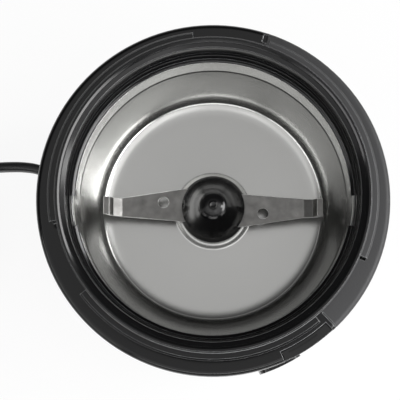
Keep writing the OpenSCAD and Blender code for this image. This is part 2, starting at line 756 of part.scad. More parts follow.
module shaft_seal() {
    seat_z = floor_z + boss_h - bowl_wall; // underside of the raised ring
    color(black) rotate_extrude() difference() {
        union() {
            band(shaft_r + slip, seal_r + 1.4, seat_z - 2.4, 2.4);
            band(shaft_r + slip, seal_r - thin, seat_z - over, bowl_wall + over);
            band(shaft_r + slip, seal_r - 1.2, floor_z, boss_h + 1);
        }
        band(0, shaft_r + slip + 0.5, seat_z - 1.4, 1.2);
    }
}

// ---- Motor ----

module motor_shaft() {
    color(steel) {
        translate([0, 0, shaft_z]) cylinder(r = shaft_r, h = blade_z - 1 - shaft_z);
        translate([0, 0, blade_z - 1 - over]) cylinder(r = spindle_r, h = shaft_end - blade_z + 1 + over);
    }
}

// A self-aligning bronze bush
module bush(z) {
    color(copper) rotate_extrude() difference() {
        union() {
            band(0, bearing_r - 1.5, z, bearing_h);
            intersection() {
                translate([0, z + bearing_h / 2]) circle(bearing_r);
                band(0, bearing_r, z + 1, bearing_h - 2);
            }
        }
        band(0, shaft_r + slip, z - over, bearing_h + 2 * over);
        left_half();
    }
}

module upper_bearing() bush(upper_bush_z);
module lower_bearing() bush(lower_bush_z);

// A pressed strap along X with a bearing cup in its middle and legs to the stator
module motor_strap(z, half, leg_z, leg_h, bush_z) {
    cup_h = bearing_h - 2;
    difference() {
        union() {
            intersection() {
                translate([0, 0, z]) cylinder(r = half[0], h = bracket_t);
                block(-half[0], 0, z, [2 * half[0], 2 * half[1], bracket_t]);
            }
            translate([0, 0, bush_z + 1]) cylinder(r = bearing_r + 1.6, h = cup_h);
            for (side = [-1, 1]) translate([side * bolt_at, 0, leg_z]) cylinder(r = leg_r, h = leg_h);
        }
        translate([0, 0, bush_z]) cylinder(r = bearing_r + thin, h = bearing_h);
        for (side = [-1, 1]) translate([side * bolt_at, 0, min(leg_z, z) - over])
            cylinder(r = bolt_r + 0.1, h = leg_h + bracket_t + 2 * over);
    }
}

module upper_motor_bracket() {
    color(zinc) difference() {
        motor_strap(upper_bracket_z, upper_strap, stack_top, upper_leg, upper_bush_z);
        for (side = [-1, 1]) translate([side * mount_at, 0, upper_bracket_z - over])
            cylinder(r = grommet_r + thin, h = bracket_t + 2 * over);
    }
}

module lower_motor_bracket() {
    color(zinc) union() {
        motor_strap(lower_bracket_z, lower_strap, lower_bracket_z + bracket_t, lower_leg, lower_bush_z);
        difference() {
            block(-5, 0, lower_bracket_z, [10, 2 * (holder_x + holder_len), bracket_t]);
            translate([0, 0, lower_bracket_z - over])
                cylinder(r = bearing_r + 1.5, h = bracket_t + 2 * over);
        }
    }
}

module stator_plan() {
    difference() {
        rounded(stator_w, stator_d, 6);
        circle(bore_r);
        for (i = [-1, 1], j = [-1, 1]) scale([i, j]) {
            translate([coil_x[0] - fit, coil_y[0] - fit])
                square([coil_x[1] - coil_x[0] + 2 * fit, coil_y[1] - coil_y[0] + 2 * fit]);
            rotate([0, 0, 42]) translate([bore_r - 2, -0.9]) square([6, 1.8]);
        }
        for (side = [-1, 1]) translate([side * bolt_at, 0]) circle(bolt_r + 0.1);
    }
}

module stator_core() {
    color(iron) translate([0, 0, stack_z]) linear_extrude(stack_h) stator_plan();
}

// Two coils, each wound round its pole
module field_coils() {
    tall = stack_h + 2 * coil_end;
    middle = stack_z + stack_h / 2;
    color(copper) for (side = [-1, 1]) scale([side, 1, 1]) difference() {
        translate([0, 0, middle])
            slab_x(coil_x[0], coil_x[1] - coil_x[0], 2 * coil_y[1], tall, 5);
        translate([0, 0, middle])
            block(coil_x[0] - over, 0, -stack_h / 2 - thin, [9, 2 * coil_y[0], stack_h + 2 * thin]);
        translate([0, 0, stack_z - over]) cylinder(r = armature_r + air_gap, h = stack_h + 2 * over);
    }
}

module stator_bolts() {
    length = stack_h + upper_leg + lower_leg + 2 * bracket_t + 2;
    color(zinc) for (side = [-1, 1]) translate([side * bolt_at, 0, lower_bracket_z])
        screw_up(0, bolt_r, length, bolt_head[0], bolt_head[1]);
}

module armature_core() {
    color(iron) translate([0, 0, stack_z]) linear_extrude(stack_h) difference() {
        circle(armature_r, $fn = 96);
        circle(shaft_r + thin);
        for (i = [0:slot_count - 1]) rotate([0, 0, 360 * i / slot_count]) {
            translate([slot_at, 0]) circle(slot_r);
            translate([slot_at + 0.4, -0.6]) square([6, 1.2]);
        }
    }
}

// Windings: a bar in each slot and a rounded end at each face of the stack
module armature_winding() {
    end_r = armature_r - 1.6;
    color(copper) {
        for (i = [0:slot_count - 1]) rotate([0, 0, 360 * i / slot_count])
            translate([slot_at, 0, stack_z - over])
                cylinder(r = slot_r - slip, h = stack_h + 2 * over, $fn = 24);
        for (z = [stack_z - coil_end + 0.6, stack_top]) rotate_extrude() difference() {
            union() {
                band(shaft_r + 1, end_r - 1.5, z, coil_end - 0.6);
                band(shaft_r + 1, end_r, z + 1.5 * (z < stack_top ? 1 : 0), coil_end - 2.1);
                translate([end_r - 1.5, z < stack_top ? z + 1.5 : z + coil_end - 2.1]) circle(1.5);
            }
        }
    }
}

module commutator() {
    color(copper) difference() {
        union() {
            tube(commutator_r, shaft_r + thin, commutator_z, commutator_h);
            tube(commutator_r + 1.6, shaft_r + thin, commutator_z + commutator_h - riser_h, riser_h);
        }
        for (i = [0:2 * slot_count - 1]) rotate([0, 0, 180 * i / slot_count])
            block(commutator_r - 1.2, 0, commutator_z - over, [5, 0.4, commutator_h + 2 * over]);
    }
}

module cooling_fan() {
    plate = 1.6;
    color(white) {
        tube(6, shaft_r + thin, fan_z, fan_h);
        tube(fan_r, 5, fan_z + fan_h - plate, plate);
        for (i = [0:fan_blades - 1]) rotate([0, 0, 360 * i / fan_blades])
            translate([0, 0, fan_z]) linear_extrude(fan_h - plate + 0.1)
                translate([5.5, 0]) rotate([0, 0, 14]) square([fan_r - 6.6, 1.2]);
    }
}

// The frame of one of the two brushes: x runs outwards from the commutator
module each_brush() for (a = [90, 270]) rotate([0, 0, a]) translate([0, 0, brush_z]) children();

module brush_holders() {
    outer = [holder_len, brush_w + 2 * holder_wall, brush_h + 2 * holder_wall];
    color(black) each_brush() difference() {
        union() {
            block(holder_x, 0, -outer[2] / 2, outer);
            block(holder_x + 3, 0, lower_bracket_z + bracket_t - brush_z,
                [holder_len - 3, outer[1], brush_z - lower_bracket_z - bracket_t]);
        }
        block(holder_x - over, 0, -brush_h / 2 - slip,
            [holder_len - holder_wall + over, brush_w + 2 * slip, brush_h + 2 * slip]);
    }
}

module carbon_brushes() {
    tip = commutator_r + slip;
    color("#3a3a3c") each_brush() difference() {
        block(tip - 1.5, 0, -brush_h / 2, [brush_len + 1.5, brush_w, brush_h]);
        translate([0, 0, -brush_h]) cylinder(r = tip, h = 2 * brush_h);
    }
}

module brush_springs() {
    start = commutator_r + slip + brush_len;
    length = holder_x + holder_len - holder_wall - start;
    color(steel) each_brush() translate([start, 0, 0]) rotate([0, 90, 0])
        coil_spring(brush_spring_r, brush_wire_r, 5, length);
}

module motor_grommets() {
    color(black) for (side = [-1, 1]) translate([side * mount_at, 0, 0]) rotate_extrude() {
        band(screw_r + 0.4, grommet_r, upper_bracket_z, bracket_t);
        for (z = [upper_bracket_z - grommet_lip, upper_bracket_z + bracket_t])
            band(screw_r + 0.4, grommet_flange_r, z, grommet_lip);
    }
}

module motor_screws() {
    color(zinc) for (side = [-1, 1]) translate([side * mount_at, 0, 0])
        screw_up(upper_bracket_z - grommet_lip, screw_r - thin, bracket_t + grommet_lip + motor_drop - 0.6,
            mount_head[0], mount_head[1]);
}

// ---- Push button and power switch ----

module power_button() {
    w = button_w;
    color(gloss_black) at_azimuth(button_az) translate([0, 0, button_z]) {
        difference() {
            slab_x(flange_x - 0.5, button_face - flange_x + 0.5, w, button_h, 3);
            difference() {
                cylinder(r = far, h = far, center = true);
                cylinder(r = button_face, h = far + over, center = true, $fn = 96);
            }
        }
        slab_x(spring_x, flange_t, w + 2 * button_flange, button_h + 2 * button_flange, 3);
        rod_x(stem_x, spring_x - stem_x + over, stem_r);
    }
}

module button_spring() {
    color(steel) at_azimuth(button_az) translate([carrier_x, 0, button_z]) rotate([0, 90, 0])
        coil_spring(stem_r + 0.7, 0.35, 4, spring_len);
}

module switch_carrier() {
    half = rail_in + rail_slot - slip;
    color(white) at_azimuth(button_az) translate([0, 0, button_z]) difference() {
        union() {
            block(carrier_x - carrier_t, 0, -switch_size[2] / 2 - 1,
                [carrier_t, 2 * half, switch_size[2] + 2]);
            for (side = [-1, 1])
                block(switch_x - switch_size[0], side * (switch_size[1] / 2 + slip + 0.6),
                    -switch_size[2] / 2, [switch_size[0] + 0.5, 1.2, switch_size[2]]);
        }
        rod_x(carrier_x - 5, 8, stem_r + fit);
    }
}

module power_switch() {
    color(gloss_black) at_azimuth(button_az) translate([0, 0, button_z]) difference() {
        union() {
            block(switch_x - switch_size[0], 0, -switch_size[2] / 2, switch_size);
            for (z = [-6, 0, 6]) block(switch_x - switch_size[0] - 1.8, 0, z - 1.2, [2.5, 0.6, 2.4]);
        }
        rod_x(switch_x - 7.4, 9, plunger_r + slip);
    }
}

module power_switch_plunger() {
    color(red) at_azimuth(button_az) translate([0, 0, button_z])
        rod_x(switch_x - 4.8, plunger_x - switch_x + 4.8, plunger_r);
}

// ---- Lid interlock ----

module interlock_key() {
    gap = atan(fit / shoulder_r);
    color(black) difference() {
        union() {
            sweep(key_az[0] + gap, key_az[1] - gap) band(key_in, key_out, key_z, key_h);
            sweep(bridge_az[0], bridge_az[1]) band(rod_r[0], key_in + 0.5, bridge_z, bridge_t);
            at_azimuth(rod_az) {
                block(rod_r[0], 0, rod_foot_z, [rod_r[1] - rod_r[0], rod_w, bridge_z - rod_foot_z + over]);
                block(safety_plunger_at - 1.8, 0, rod_foot_z,
                    [rod_r[1] - safety_plunger_at + 1.8, rod_w, rod_foot_t]);
            }
        }
        sweep(key_az[0] + 2.5, key_az[1] - 5)
            band(key_in + 0.5, key_in + 0.95, shoulder_h - 0.9, 2);
    }
}

module interlock_spring() {
    color(steel) at_azimuth(key_spring_az) translate([key_spring_at, 0, key_shelf_z])
        coil_spring(key_spring_r, 0.2, 7, key_spring_len);
}

module safety_switch() {
    low = safety_top - safety_size[2];
    color(gloss_black) difference() {
        at_azimuth(safety_az) union() {
            block(safety_x, 0, low, safety_size);
            for (y = [0.5, 5]) block(safety_x + 2.6, y, low - 2.6, [0.6, 2, 3]);
        }
        at_azimuth(safety_az) for (side = [-1, 1])
            translate([0, side * safety_pin[0], safety_top - safety_pin[1]])
                rod_x(safety_x - over, safety_size[0] + 2 * over, safety_pin[2] + slip);
        at_azimuth(rod_az) translate([safety_plunger_at, 0, safety_top - 3.4])
            cylinder(r = safety_plunger_r + slip, h = 3.4 + over);
    }
}

module safety_switch_plunger() {
    color(red) at_azimuth(rod_az) translate([safety_plunger_at, 0, safety_top - 1.2])
        cylinder(r = safety_plunger_r, h = rod_foot_z - plunger_gap - safety_top + 1.2);
}

// ---- Base, feet and cord entry ----

module base_plate() {
    color(black) difference() {
        union() {
            translate([0, 0, foot_h]) cylinder(r = rim_r, h = base_t, $fn = 128);
            tube(rim_r, rim_r - rim_t, base_top - over, rim_h + over);
            for (a = base_screw_az) at_azimuth(a) translate([base_screw_at, 0, foot_h])
                cylinder(r = base_boss_r, h = boss_joint_z - foot_h);
            at_azimuth(cord_az) clamp_saddle();
        }
        for (a = base_screw_az) at_azimuth(a) translate([base_screw_at, 0, 0]) {
            translate([0, 0, foot_h - over]) cylinder(r = head_r + fit, h = head_seat_z - foot_h + over);
            translate([0, 0, foot_h]) cylinder(r = screw_r + fit, h = boss_joint_z - foot_h + over);
        }
        for (a = foot_az) at_azimuth(a) translate([foot_at, 0, foot_h - over]) {
            cylinder(r = foot_r + 0.2, h = foot_sink + over);
            cylinder(r = 2.5, h = base_t + 2 * over);
        }
        for (i = [0:vent_count - 1]) at_azimuth(360 * (i + 0.5) / vent_count)
            translate([vent_in + vent_len / 2, 0, foot_h - over]) linear_extrude(base_t + 2 * over)
                rounded(vent_len, vent_w, vent_w / 2 - 0.01);
        at_azimuth(cord_az) block(rim_r - 5, 0, base_top, [10, 15, 10]);
    }
}

module clamp_saddle() {
    block(clamp_x - 3, 0, base_top - over, [6, cord_t + 2, cord_low - base_top + over]);
    for (side = [-1, 1]) difference() {
        translate([clamp_x, side * clamp_y, base_top - over])
            cylinder(r = 2.4, h = cord_high - base_top + over);
        translate([clamp_x, side * clamp_y, base_top]) cylinder(r = 1, h = 20);
    }
}

module cord_clamp() {
    color(white) at_azimuth(cord_az) difference() {
        translate([clamp_x, 0, cord_high]) linear_extrude(clamp_t) rounded(5.4, 2 * clamp_y + 5.4, 2);
        for (side = [-1, 1]) translate([clamp_x, side * clamp_y, cord_high - over])
            cylinder(r = 1.3, h = clamp_t + 2 * over);
    }
}

module clamp_screws() {
    color(zinc) at_azimuth(cord_az) for (side = [-1, 1])
        translate([clamp_x, side * clamp_y, cord_high + clamp_t]) rotate([180, 0, 0])
            screw_up(0, 1 - thin, 8, 2.1, 1.5);
}

module base_screws() {
    color(zinc) for (a = base_screw_az) at_azimuth(a) translate([base_screw_at, 0, 0])
        screw_up(head_seat_z, screw_r - thin, boss_joint_z - head_seat_z + base_grip);
}

module rubber_feet() {
    color(gloss_black) for (a = foot_az) at_azimuth(a) translate([foot_at, 0, 0]) rotate_extrude() {
        polygon([
            [0, 0], [foot_r - 0.6, 0], [foot_r, 0.6], [foot_r, foot_h + foot_sink], [2.4, foot_h + foot_sink],
            [2.4, base_top], [3.3, base_top], [2.2, base_top + 2], [0, base_top + 2]
        ]);
    }
}

// Moulded strain relief with a ribbed, tapering tail
module strain_relief() {
    wall_in = relief_in + relief_grip;
    wall_out = body_r(cord_z) + 0.3;
    ribs = 5;
    tail = relief_end - wall_out - 2;
    step = tail / ribs;
    taper = [
        for (i = [0:ribs - 1]) let (x = wall_out + 2 + i * step, r = 4.6 - 1.4 * i / (ribs - 1)) each
            [[x, r], [x + step * 0.62, r - 0.15], [x + step * 0.62, r - 0.9], [x + step, r - 1]]
    ];
    profile = concat(
        [[relief_in, 0], [relief_in, 3.4], [wall_in - 2, 3.9], [wall_in - 2, 5.6], [wall_in, 5.6],
        [wall_in, relief_neck_r], [wall_out, relief_neck_r], [wall_out, 5.6], [wall_out + 1.4, 5.6],
        [wall_out + 2, 4.7]],
        [for (p = taper) if (p[0] < relief_end - 0.01) p],
        [[relief_end, 3.1], [relief_end, 0]]
    );
    color(black) at_azimuth(cord_az) translate([0, 0, cord_z]) rotate([0, 90, 0])
        rotate_extrude() polygon([for (p = profile) [p[1], p[0]]]);
}

// Stretch of the supply cord between the strain relief and its stripped end, under the clamp
module clamped_cord() {
    color(gloss_black) at_azimuth(cord_az) translate([cord_end, 0, cord_z]) rotate([90, 0, 90])
        linear_extrude(relief_in - cord_end) rounded(cord_t, cord_w, cord_t / 2 - 0.01);
}

// The cord's two conductors, from its stripped end to the power switch
module internal_leads() {
    lead_d = 1.7;
    color("#8a5a3c") for (k = [-1, 1]) swept(lead_route(k, cord_end - 0.1), lead_d, lead_d);
}

// The two leads run side by side round the left of the motor, rising to the power switch
function lead_route(k, start) = let (
    side = 1.4 * k, last = 360 + button_az, terminal_z = button_z - 7.4, terminal_r = switch_x - 9.4
) [
    polar(start, cord_az, cord_z + side),
    polar(start - 1.2, cord_az, cord_z + side),
    polar(start - 2, cord_az + 3, cord_z + 0.3 + side),
    polar(start - 2.2, cord_az + 10, cord_z + 1.5 + side),
    polar(start - 0.5, cord_az + 19, cord_z + 4 + side),
    polar(31, cord_az + 28, cord_z + 7 + side),
    for (i = [0:7]) polar(35, cord_az + 38 + i * 10, cord_z + 10.5 + 2.8 * i + side),
    polar(33, last - 20, cord_z + 32 + side),
    polar(29.5, last - 12 + 2 * k, cord_z + 35 + side),
    polar(terminal_r + 3, last - 4 + 3.6 * k, terminal_z - 5 + side / 2),
    polar(terminal_r + 1, last - 0.8 + 3.4 * k, terminal_z - 2.4),
    polar(terminal_r, last + 3.6 * k, terminal_z)
];
function polar(r, az, z) = [r * cos(az), r * sin(az), z];

// ---- Cord, coil and plug ----

module power_cord() {
    color(gloss_black) {
        swept(cord_route, cord_t, cord_w);
        swept(plug_route, cord_t, cord_w);
    }
}

module cord_coil() {
    half = coil_lanes * coil_pitch / 2;
    color(gloss_black) translate([coil_centre[0], coil_centre[1], 0]) rotate_extrude()
        band(coil_r - half, coil_r + half, 0, coil_layers * cord_w);
}

// Wire tie round the bundle of turns
module cord_tie() {
    half = coil_lanes * coil_pitch / 2;
    top = coil_layers * cord_w;
    color(white) translate([coil_centre[0], coil_centre[1], 0]) rotate([0, 0, 20]) difference() {
        block(coil_r - half - 0.8, 0, 0, [2 * half + 1.6, 4, top + 0.8]);
        rotate_extrude() band(coil_r - half, coil_r + half, -over, top + over);
    }
}

module plug_body() {
    color(gloss_black) translate(plug_at) {
        rotate([0, 90, 0]) rotate_extrude() polygon([
            [0, 0], [3.1, 0], [3.9, plug_tail], [3.9, plug_tail + over], [0, plug_tail + over]
        ]);
        slab_x(plug_tail, plug_len - 3, plug_w - 4, plug_t, 3);
        slab_x(plug_tail + 6, plug_len - 6, plug_w, plug_t, 3);
    }
}

module plug_pins() {
    color(copper) translate(plug_at + [plug_tail + plug_len, 0, 0]) for (side = [-1, 1])
        translate([0, side * pin_gap / 2, 0]) difference() {
            block(0, 0, -3.15, [pin_len, pin_t, 6.3]);
            translate([pin_len - 3.5, 0, 0]) rotate([90, 0, 0])
                cylinder(r = 1.5, h = pin_t + 2 * over, center = true);
        }
}

housing_shell();
top_collar();
grinding_bowl();
bowl_gasket();
support_deck();
collar_screws();
blade();
blade_hub();
hub_cap();
shaft_seal();
motor_shaft();
upper_bearing();
upper_motor_bracket();
lower_bearing();
lower_motor_bracket();
stator_core();
field_coils();
stator_bolts();
armature_core();
armature_winding();
commutator();
cooling_fan();
brush_holders();
carbon_brushes();
brush_springs();
motor_grommets();
motor_screws();
power_button();
button_spring();
power_switch();
power_switch_plunger();
switch_carrier();
interlock_key();
interlock_spring();
safety_switch();
safety_switch_plunger();
clamped_cord();
internal_leads();
base_plate();
base_screws();
rubber_feet();
strain_relief();
cord_clamp();
clamp_screws();
power_cord();
cord_coil();
cord_tie();
plug_body();
plug_pins();
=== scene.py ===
"""Looks of an electric spice grinder, lid off: finishes, cord, stage and camera, one operator each."""

import math

import bpy
from bpy.props import FloatProperty, FloatVectorProperty, PointerProperty
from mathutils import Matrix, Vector


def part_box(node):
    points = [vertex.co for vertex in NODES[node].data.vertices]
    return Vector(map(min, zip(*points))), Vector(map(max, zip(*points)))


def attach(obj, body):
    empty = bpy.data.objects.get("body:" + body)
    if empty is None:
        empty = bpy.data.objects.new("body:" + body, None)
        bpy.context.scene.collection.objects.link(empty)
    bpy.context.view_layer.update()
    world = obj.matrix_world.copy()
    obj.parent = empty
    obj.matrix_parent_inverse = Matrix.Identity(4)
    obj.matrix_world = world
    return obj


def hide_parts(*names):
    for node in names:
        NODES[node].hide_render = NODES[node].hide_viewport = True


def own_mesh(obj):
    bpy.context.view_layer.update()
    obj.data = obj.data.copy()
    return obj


bl_info = {
    "name": "Spice grinder looks",
    "version": (1, 0, 0),
    "blender": (4, 5, 0),
    "location": "3D View > Sidebar > Grinder",
    "description": "Finishes, cord, stage and camera of an electric spice grinder",
    "category": "Object",
}

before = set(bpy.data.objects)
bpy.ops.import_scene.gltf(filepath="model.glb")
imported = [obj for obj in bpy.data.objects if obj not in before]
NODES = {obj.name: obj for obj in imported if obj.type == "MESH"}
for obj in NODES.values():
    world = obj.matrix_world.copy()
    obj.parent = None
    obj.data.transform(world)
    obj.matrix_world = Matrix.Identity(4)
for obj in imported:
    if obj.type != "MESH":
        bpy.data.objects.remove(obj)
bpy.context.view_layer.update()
MM = 0.001

# Sockets of the Mix node, by number because their names repeat
FACTOR, NUMBER_A, NUMBER_B, COLOUR_A, COLOUR_B = 0, 2, 3, 6, 7
MIXED_NUMBER, MIXED_COLOUR = 0, 2


def linear(hex_colour):
    """sRGB hex to linear red, green, blue, alpha."""
    parts = [int(hex_colour[i : i + 2], 16) / 255 for i in (1, 3, 5)]
    return tuple(c / 12.92 if c <= 0.04045 else ((c + 0.055) / 1.055) ** 2.4 for c in parts) + (1.0,)


def colour_setting(name, description, hex_colour):
    return FloatVectorProperty(
        name=name, description=description, subtype="COLOR", size=4, min=0, max=1, default=linear(hex_colour)
    )


def size_setting(name, description, millimetres):
    return FloatProperty(
        name=name, description=description, default=millimetres * MM, min=0, unit="LENGTH", precision=4
    )


def light_setting(name, description, radiance):
    return FloatProperty(name=name, description=description, default=radiance, min=0)


# ---------------------------------------------------------------- settings


class GrinderStage(bpy.types.PropertyGroup):
    floor: colour_setting("Floor", "Paper sweep under the grinder", "#f4f4f4")
    camera_back: size_setting("Camera in front", "How far the camera stands in front of the axis", 54.8)
    camera_height: size_setting("Camera height", "Height of the camera over the table", 575)
    aim_height: size_setting("Aim height", "Height on the axis that the camera looks at", 128)
    lens: FloatProperty(name="Lens", description="Focal length in millimetres", default=149.1, min=20)
    shift: FloatProperty(name="Shift", description="Sideways shift of the lens", default=-0.033)
    rise: FloatProperty(name="Rise", description="Upward shift of the lens", default=-0.005)
    key: light_setting("Key lamp", "Radiance of the broad lamp at the right and the small one over it", 9.0)
    front: light_setting("Front lamp", "Radiance of the lamp at the user's side", 4.0)
    left: light_setting("Left lamp", "Radiance of the lamp at the left", 4.0)
    fill: light_setting("Fill lamps", "Radiance of the strongest of the three lamps overhead", 0.8)
    ceiling: light_setting("Ceiling", "Radiance of the room overhead", 0.66)
    horizon: light_setting("Horizon", "Radiance of the room's walls", 0.07)


class GrinderColours(bpy.types.PropertyGroup):
    body: colour_setting("Body", "Satin ABS of the shell and base", "#1d1d1f")
    collar: colour_setting("Collar", "Glossy ABS of the collar, key and button", "#0c0c0d")
    # the grain colour is lighter than the collar's partly as painted light from the lamps at the right
    grain: colour_setting("Grain", "Grained ABS on the right of the shoulder", "#3c3c3d")
    # the rubbed edge colour is a painted highlight along the collar's edges
    collar_edge_highlight: colour_setting("Rubbed edge", "Edges of the collar where the lid slides", "#9c9d9e")
    hub: colour_setting("Hub", "Polished cap over the blade", "#0b0b0c")
    steel: colour_setting("Bowl steel", "Satin stainless steel of the bowl", "#c3c3c1")
    blade: colour_setting("Blade steel", "Tumbled stainless steel of the blade", "#8a8987")
    # the blade edge colour is a painted highlight along the blade's rounded edges
    blade_edge_highlight: colour_setting("Blade edge", "Edges of the blade, polished by the tumbling", "#dcdcda")
    rubber: colour_setting("Rubber", "Feet, seal and grommets", "#161616")
    cord: colour_setting("Cord", "Soft PVC sheath of the cord and plug", "#131314")


class GrinderBowl(bpy.types.PropertyGroup):
    radius: size_setting("Radius", "Inner radius at the rim", 37.2)
    inset: size_setting("Inset", "How far the wall under the bead stands in", 0.3)
    depth: size_setting("Depth", "From the rim to the floor", 32.4)
    bead: size_setting("Bead", "Depth of the bead under the rim", 10.2)
    foot: size_setting("Foot", "Radius of the foot of the wall, which leans outwards", 32.6)
    heel: size_setting("Heel", "Radius of the corner at the foot of the wall", 2.2)
    rise: size_setting("Rise", "Radius in which the floor turns up towards the heel", 9)
    reach: size_setting("Ears", "How far the two ears stand out from the rim", 0.95)
    wall: size_setting("Wall", "Thickness of the sheet", 0.6)
    flange: size_setting("Flange", "Outer radius of the flange", 38.9)
    boss: size_setting("Raised ring", "Radius of the raised ring round the hub", 11.5)
    boss_rise: size_setting("Raised ring's height", "Rise of the ring over the floor", 0.6)
    bore: size_setting("Bore", "Radius of the shaft seal's seat", 5)


class GrinderCord(bpy.types.PropertyGroup):
    width: size_setting("Width", "Width of the flat cord, which stands on edge", 5.4)
    thickness: size_setting("Thickness", "Thickness of the flat cord", 3.4)
    coil_radius: size_setting("Coil radius", "Radius of the middle turn", 27)
    pitch: size_setting("Pitch", "Distance between turns side by side", 3.6)


SETTINGS = (
    ("grinder_stage", GrinderStage),
    ("grinder_colours", GrinderColours),
    ("grinder_bowl", GrinderBowl),
    ("grinder_cord", GrinderCord),
)


def colours():
    return bpy.context.scene.grinder_colours


def darker(colour, share):
    """The colour at a share of its strength."""
    return tuple(c * share for c in colour[:3]) + (1.0,)


# ---------------------------------------------------------------- materials

# Places on the collar: radii in millimetres, and angles in degrees from the right
BARREL_EDGE = (41.9, 42.2)
FUNNEL_MOUTH = (40.6, 41.4)
# in the grained sector the collar is also coloured lighter, partly as painted light from the right
GRAINED_LIT_SECTOR = (-46.5, 72)


def add(tree, kind, inputs=None, **attributes):
    """Adds a node, sets its attributes, and sets or links its inputs."""
    new = tree.nodes.new(kind)
    for key, value in attributes.items():
        setattr(new, key, value)
    for key, value in (inputs or {}).items():
        if isinstance(value, bpy.types.NodeSocket):
            tree.links.new(value, new.inputs[key])
        else:
            new.inputs[key].default_value = value
    return new


def empty_material(name):
    material = bpy.data.materials.new(name)
    material.use_nodes = True
    material.node_tree.nodes.clear()
    return material, material.node_tree


def finish_material(tree, shader):
    add(tree, "ShaderNodeOutputMaterial", {"Surface": shader.outputs[0]})


def paint(name, material):
    obj = NODES[name]
    obj.data.materials.clear()
    obj.data.materials.append(material)


def polar_coordinates(tree):
    """Two vectors: distance from the axis with height, for marks round the axis, and the place itself."""
    place = add(tree, "ShaderNodeTexCoord").outputs["Object"]
    split = add(tree, "ShaderNodeSeparateXYZ", {"Vector": place})
    square_x = add(tree, "ShaderNodeMath", {0: split.outputs["X"], 1: 2.0}, operation="POWER")
    square_y = add(tree, "ShaderNodeMath", {0: split.outputs["Y"], 1: 2.0}, operation="POWER")
    total = add(tree, "ShaderNodeMath", {0: square_x.outputs[0], 1: square_y.outputs[0]}, operation="ADD")
    radius = add(tree, "ShaderNodeMath", {0: total.outputs[0], 1: 0.5}, operation="POWER")
    polar = add(tree, "ShaderNodeCombineXYZ", {"X": radius.outputs[0], "Y": split.outputs["Z"]})
    return polar.outputs[0], place


def painted_edge_highlight(tree, tint, edges, colour, most):
    """Mixes a lighter colour in along the edges as a painted highlight: where the rounded normal leaves the
    normal of the face.
    """
    faces = add(tree, "ShaderNodeNewGeometry")
    agree = add(
        tree,
        "ShaderNodeVectorMath",
        {0: edges.outputs[0], 1: faces.outputs["Normal"]},
        operation="DOT_PRODUCT",
    )
    # cosines: no painted highlight up to 11 degrees between the two normals, and the most from 33 degrees
    sheen_mask = add(
        tree,
        "ShaderNodeMapRange",
        {"Value": agree.outputs["Value"], "From Min": 0.98, "From Max": 0.84, "To Max": most},
    )
    return add(
        tree,
        "ShaderNodeMix",
        {FACTOR: sheen_mask.outputs["Result"], COLOUR_A: tint.outputs[MIXED_COLOUR], COLOUR_B: tuple(colour)},
        data_type="RGBA",
    )


def satin_abs():
    """ABS moulded in a fine spark-eroded mould: a soft broad sheen, broken up by the grain."""
    material, tree = empty_material("moulded_satin_abs")
    place = add(tree, "ShaderNodeTexCoord").outputs["Object"]
    # the grain is about 0.15 mm and drawn at 0.5 mm, so that it shows
    grain = add(tree, "ShaderNodeTexNoise", {"Vector": place, "Scale": 1 / (0.5 * MM), "Detail": 2.0})
    # slow changes of sheen over some 12 mm, as from handling
    sheen_mask = add(tree, "ShaderNodeTexNoise", {"Vector": place, "Scale": 1 / (12 * MM), "Detail": 3.0})
    rough = add(tree, "ShaderNodeMapRange", {"Value": sheen_mask.outputs["Fac"], "To Min": 0.36, "To Max": 0.46})
    bump = add(
        tree, "ShaderNodeBump", {"Height": grain.outputs["Fac"], "Strength": 0.12, "Distance": 0.05 * MM}
    )
    shader = add(
        tree,
        "ShaderNodeBsdfPrincipled",
        {
            "Base Color": tuple(colours().body),
            "Roughness": rough.outputs["Result"],
            "IOR": 1.54,
            "Normal": bump.outputs["Normal"],
        },
    )
    finish_material(tree, shader)
    return material


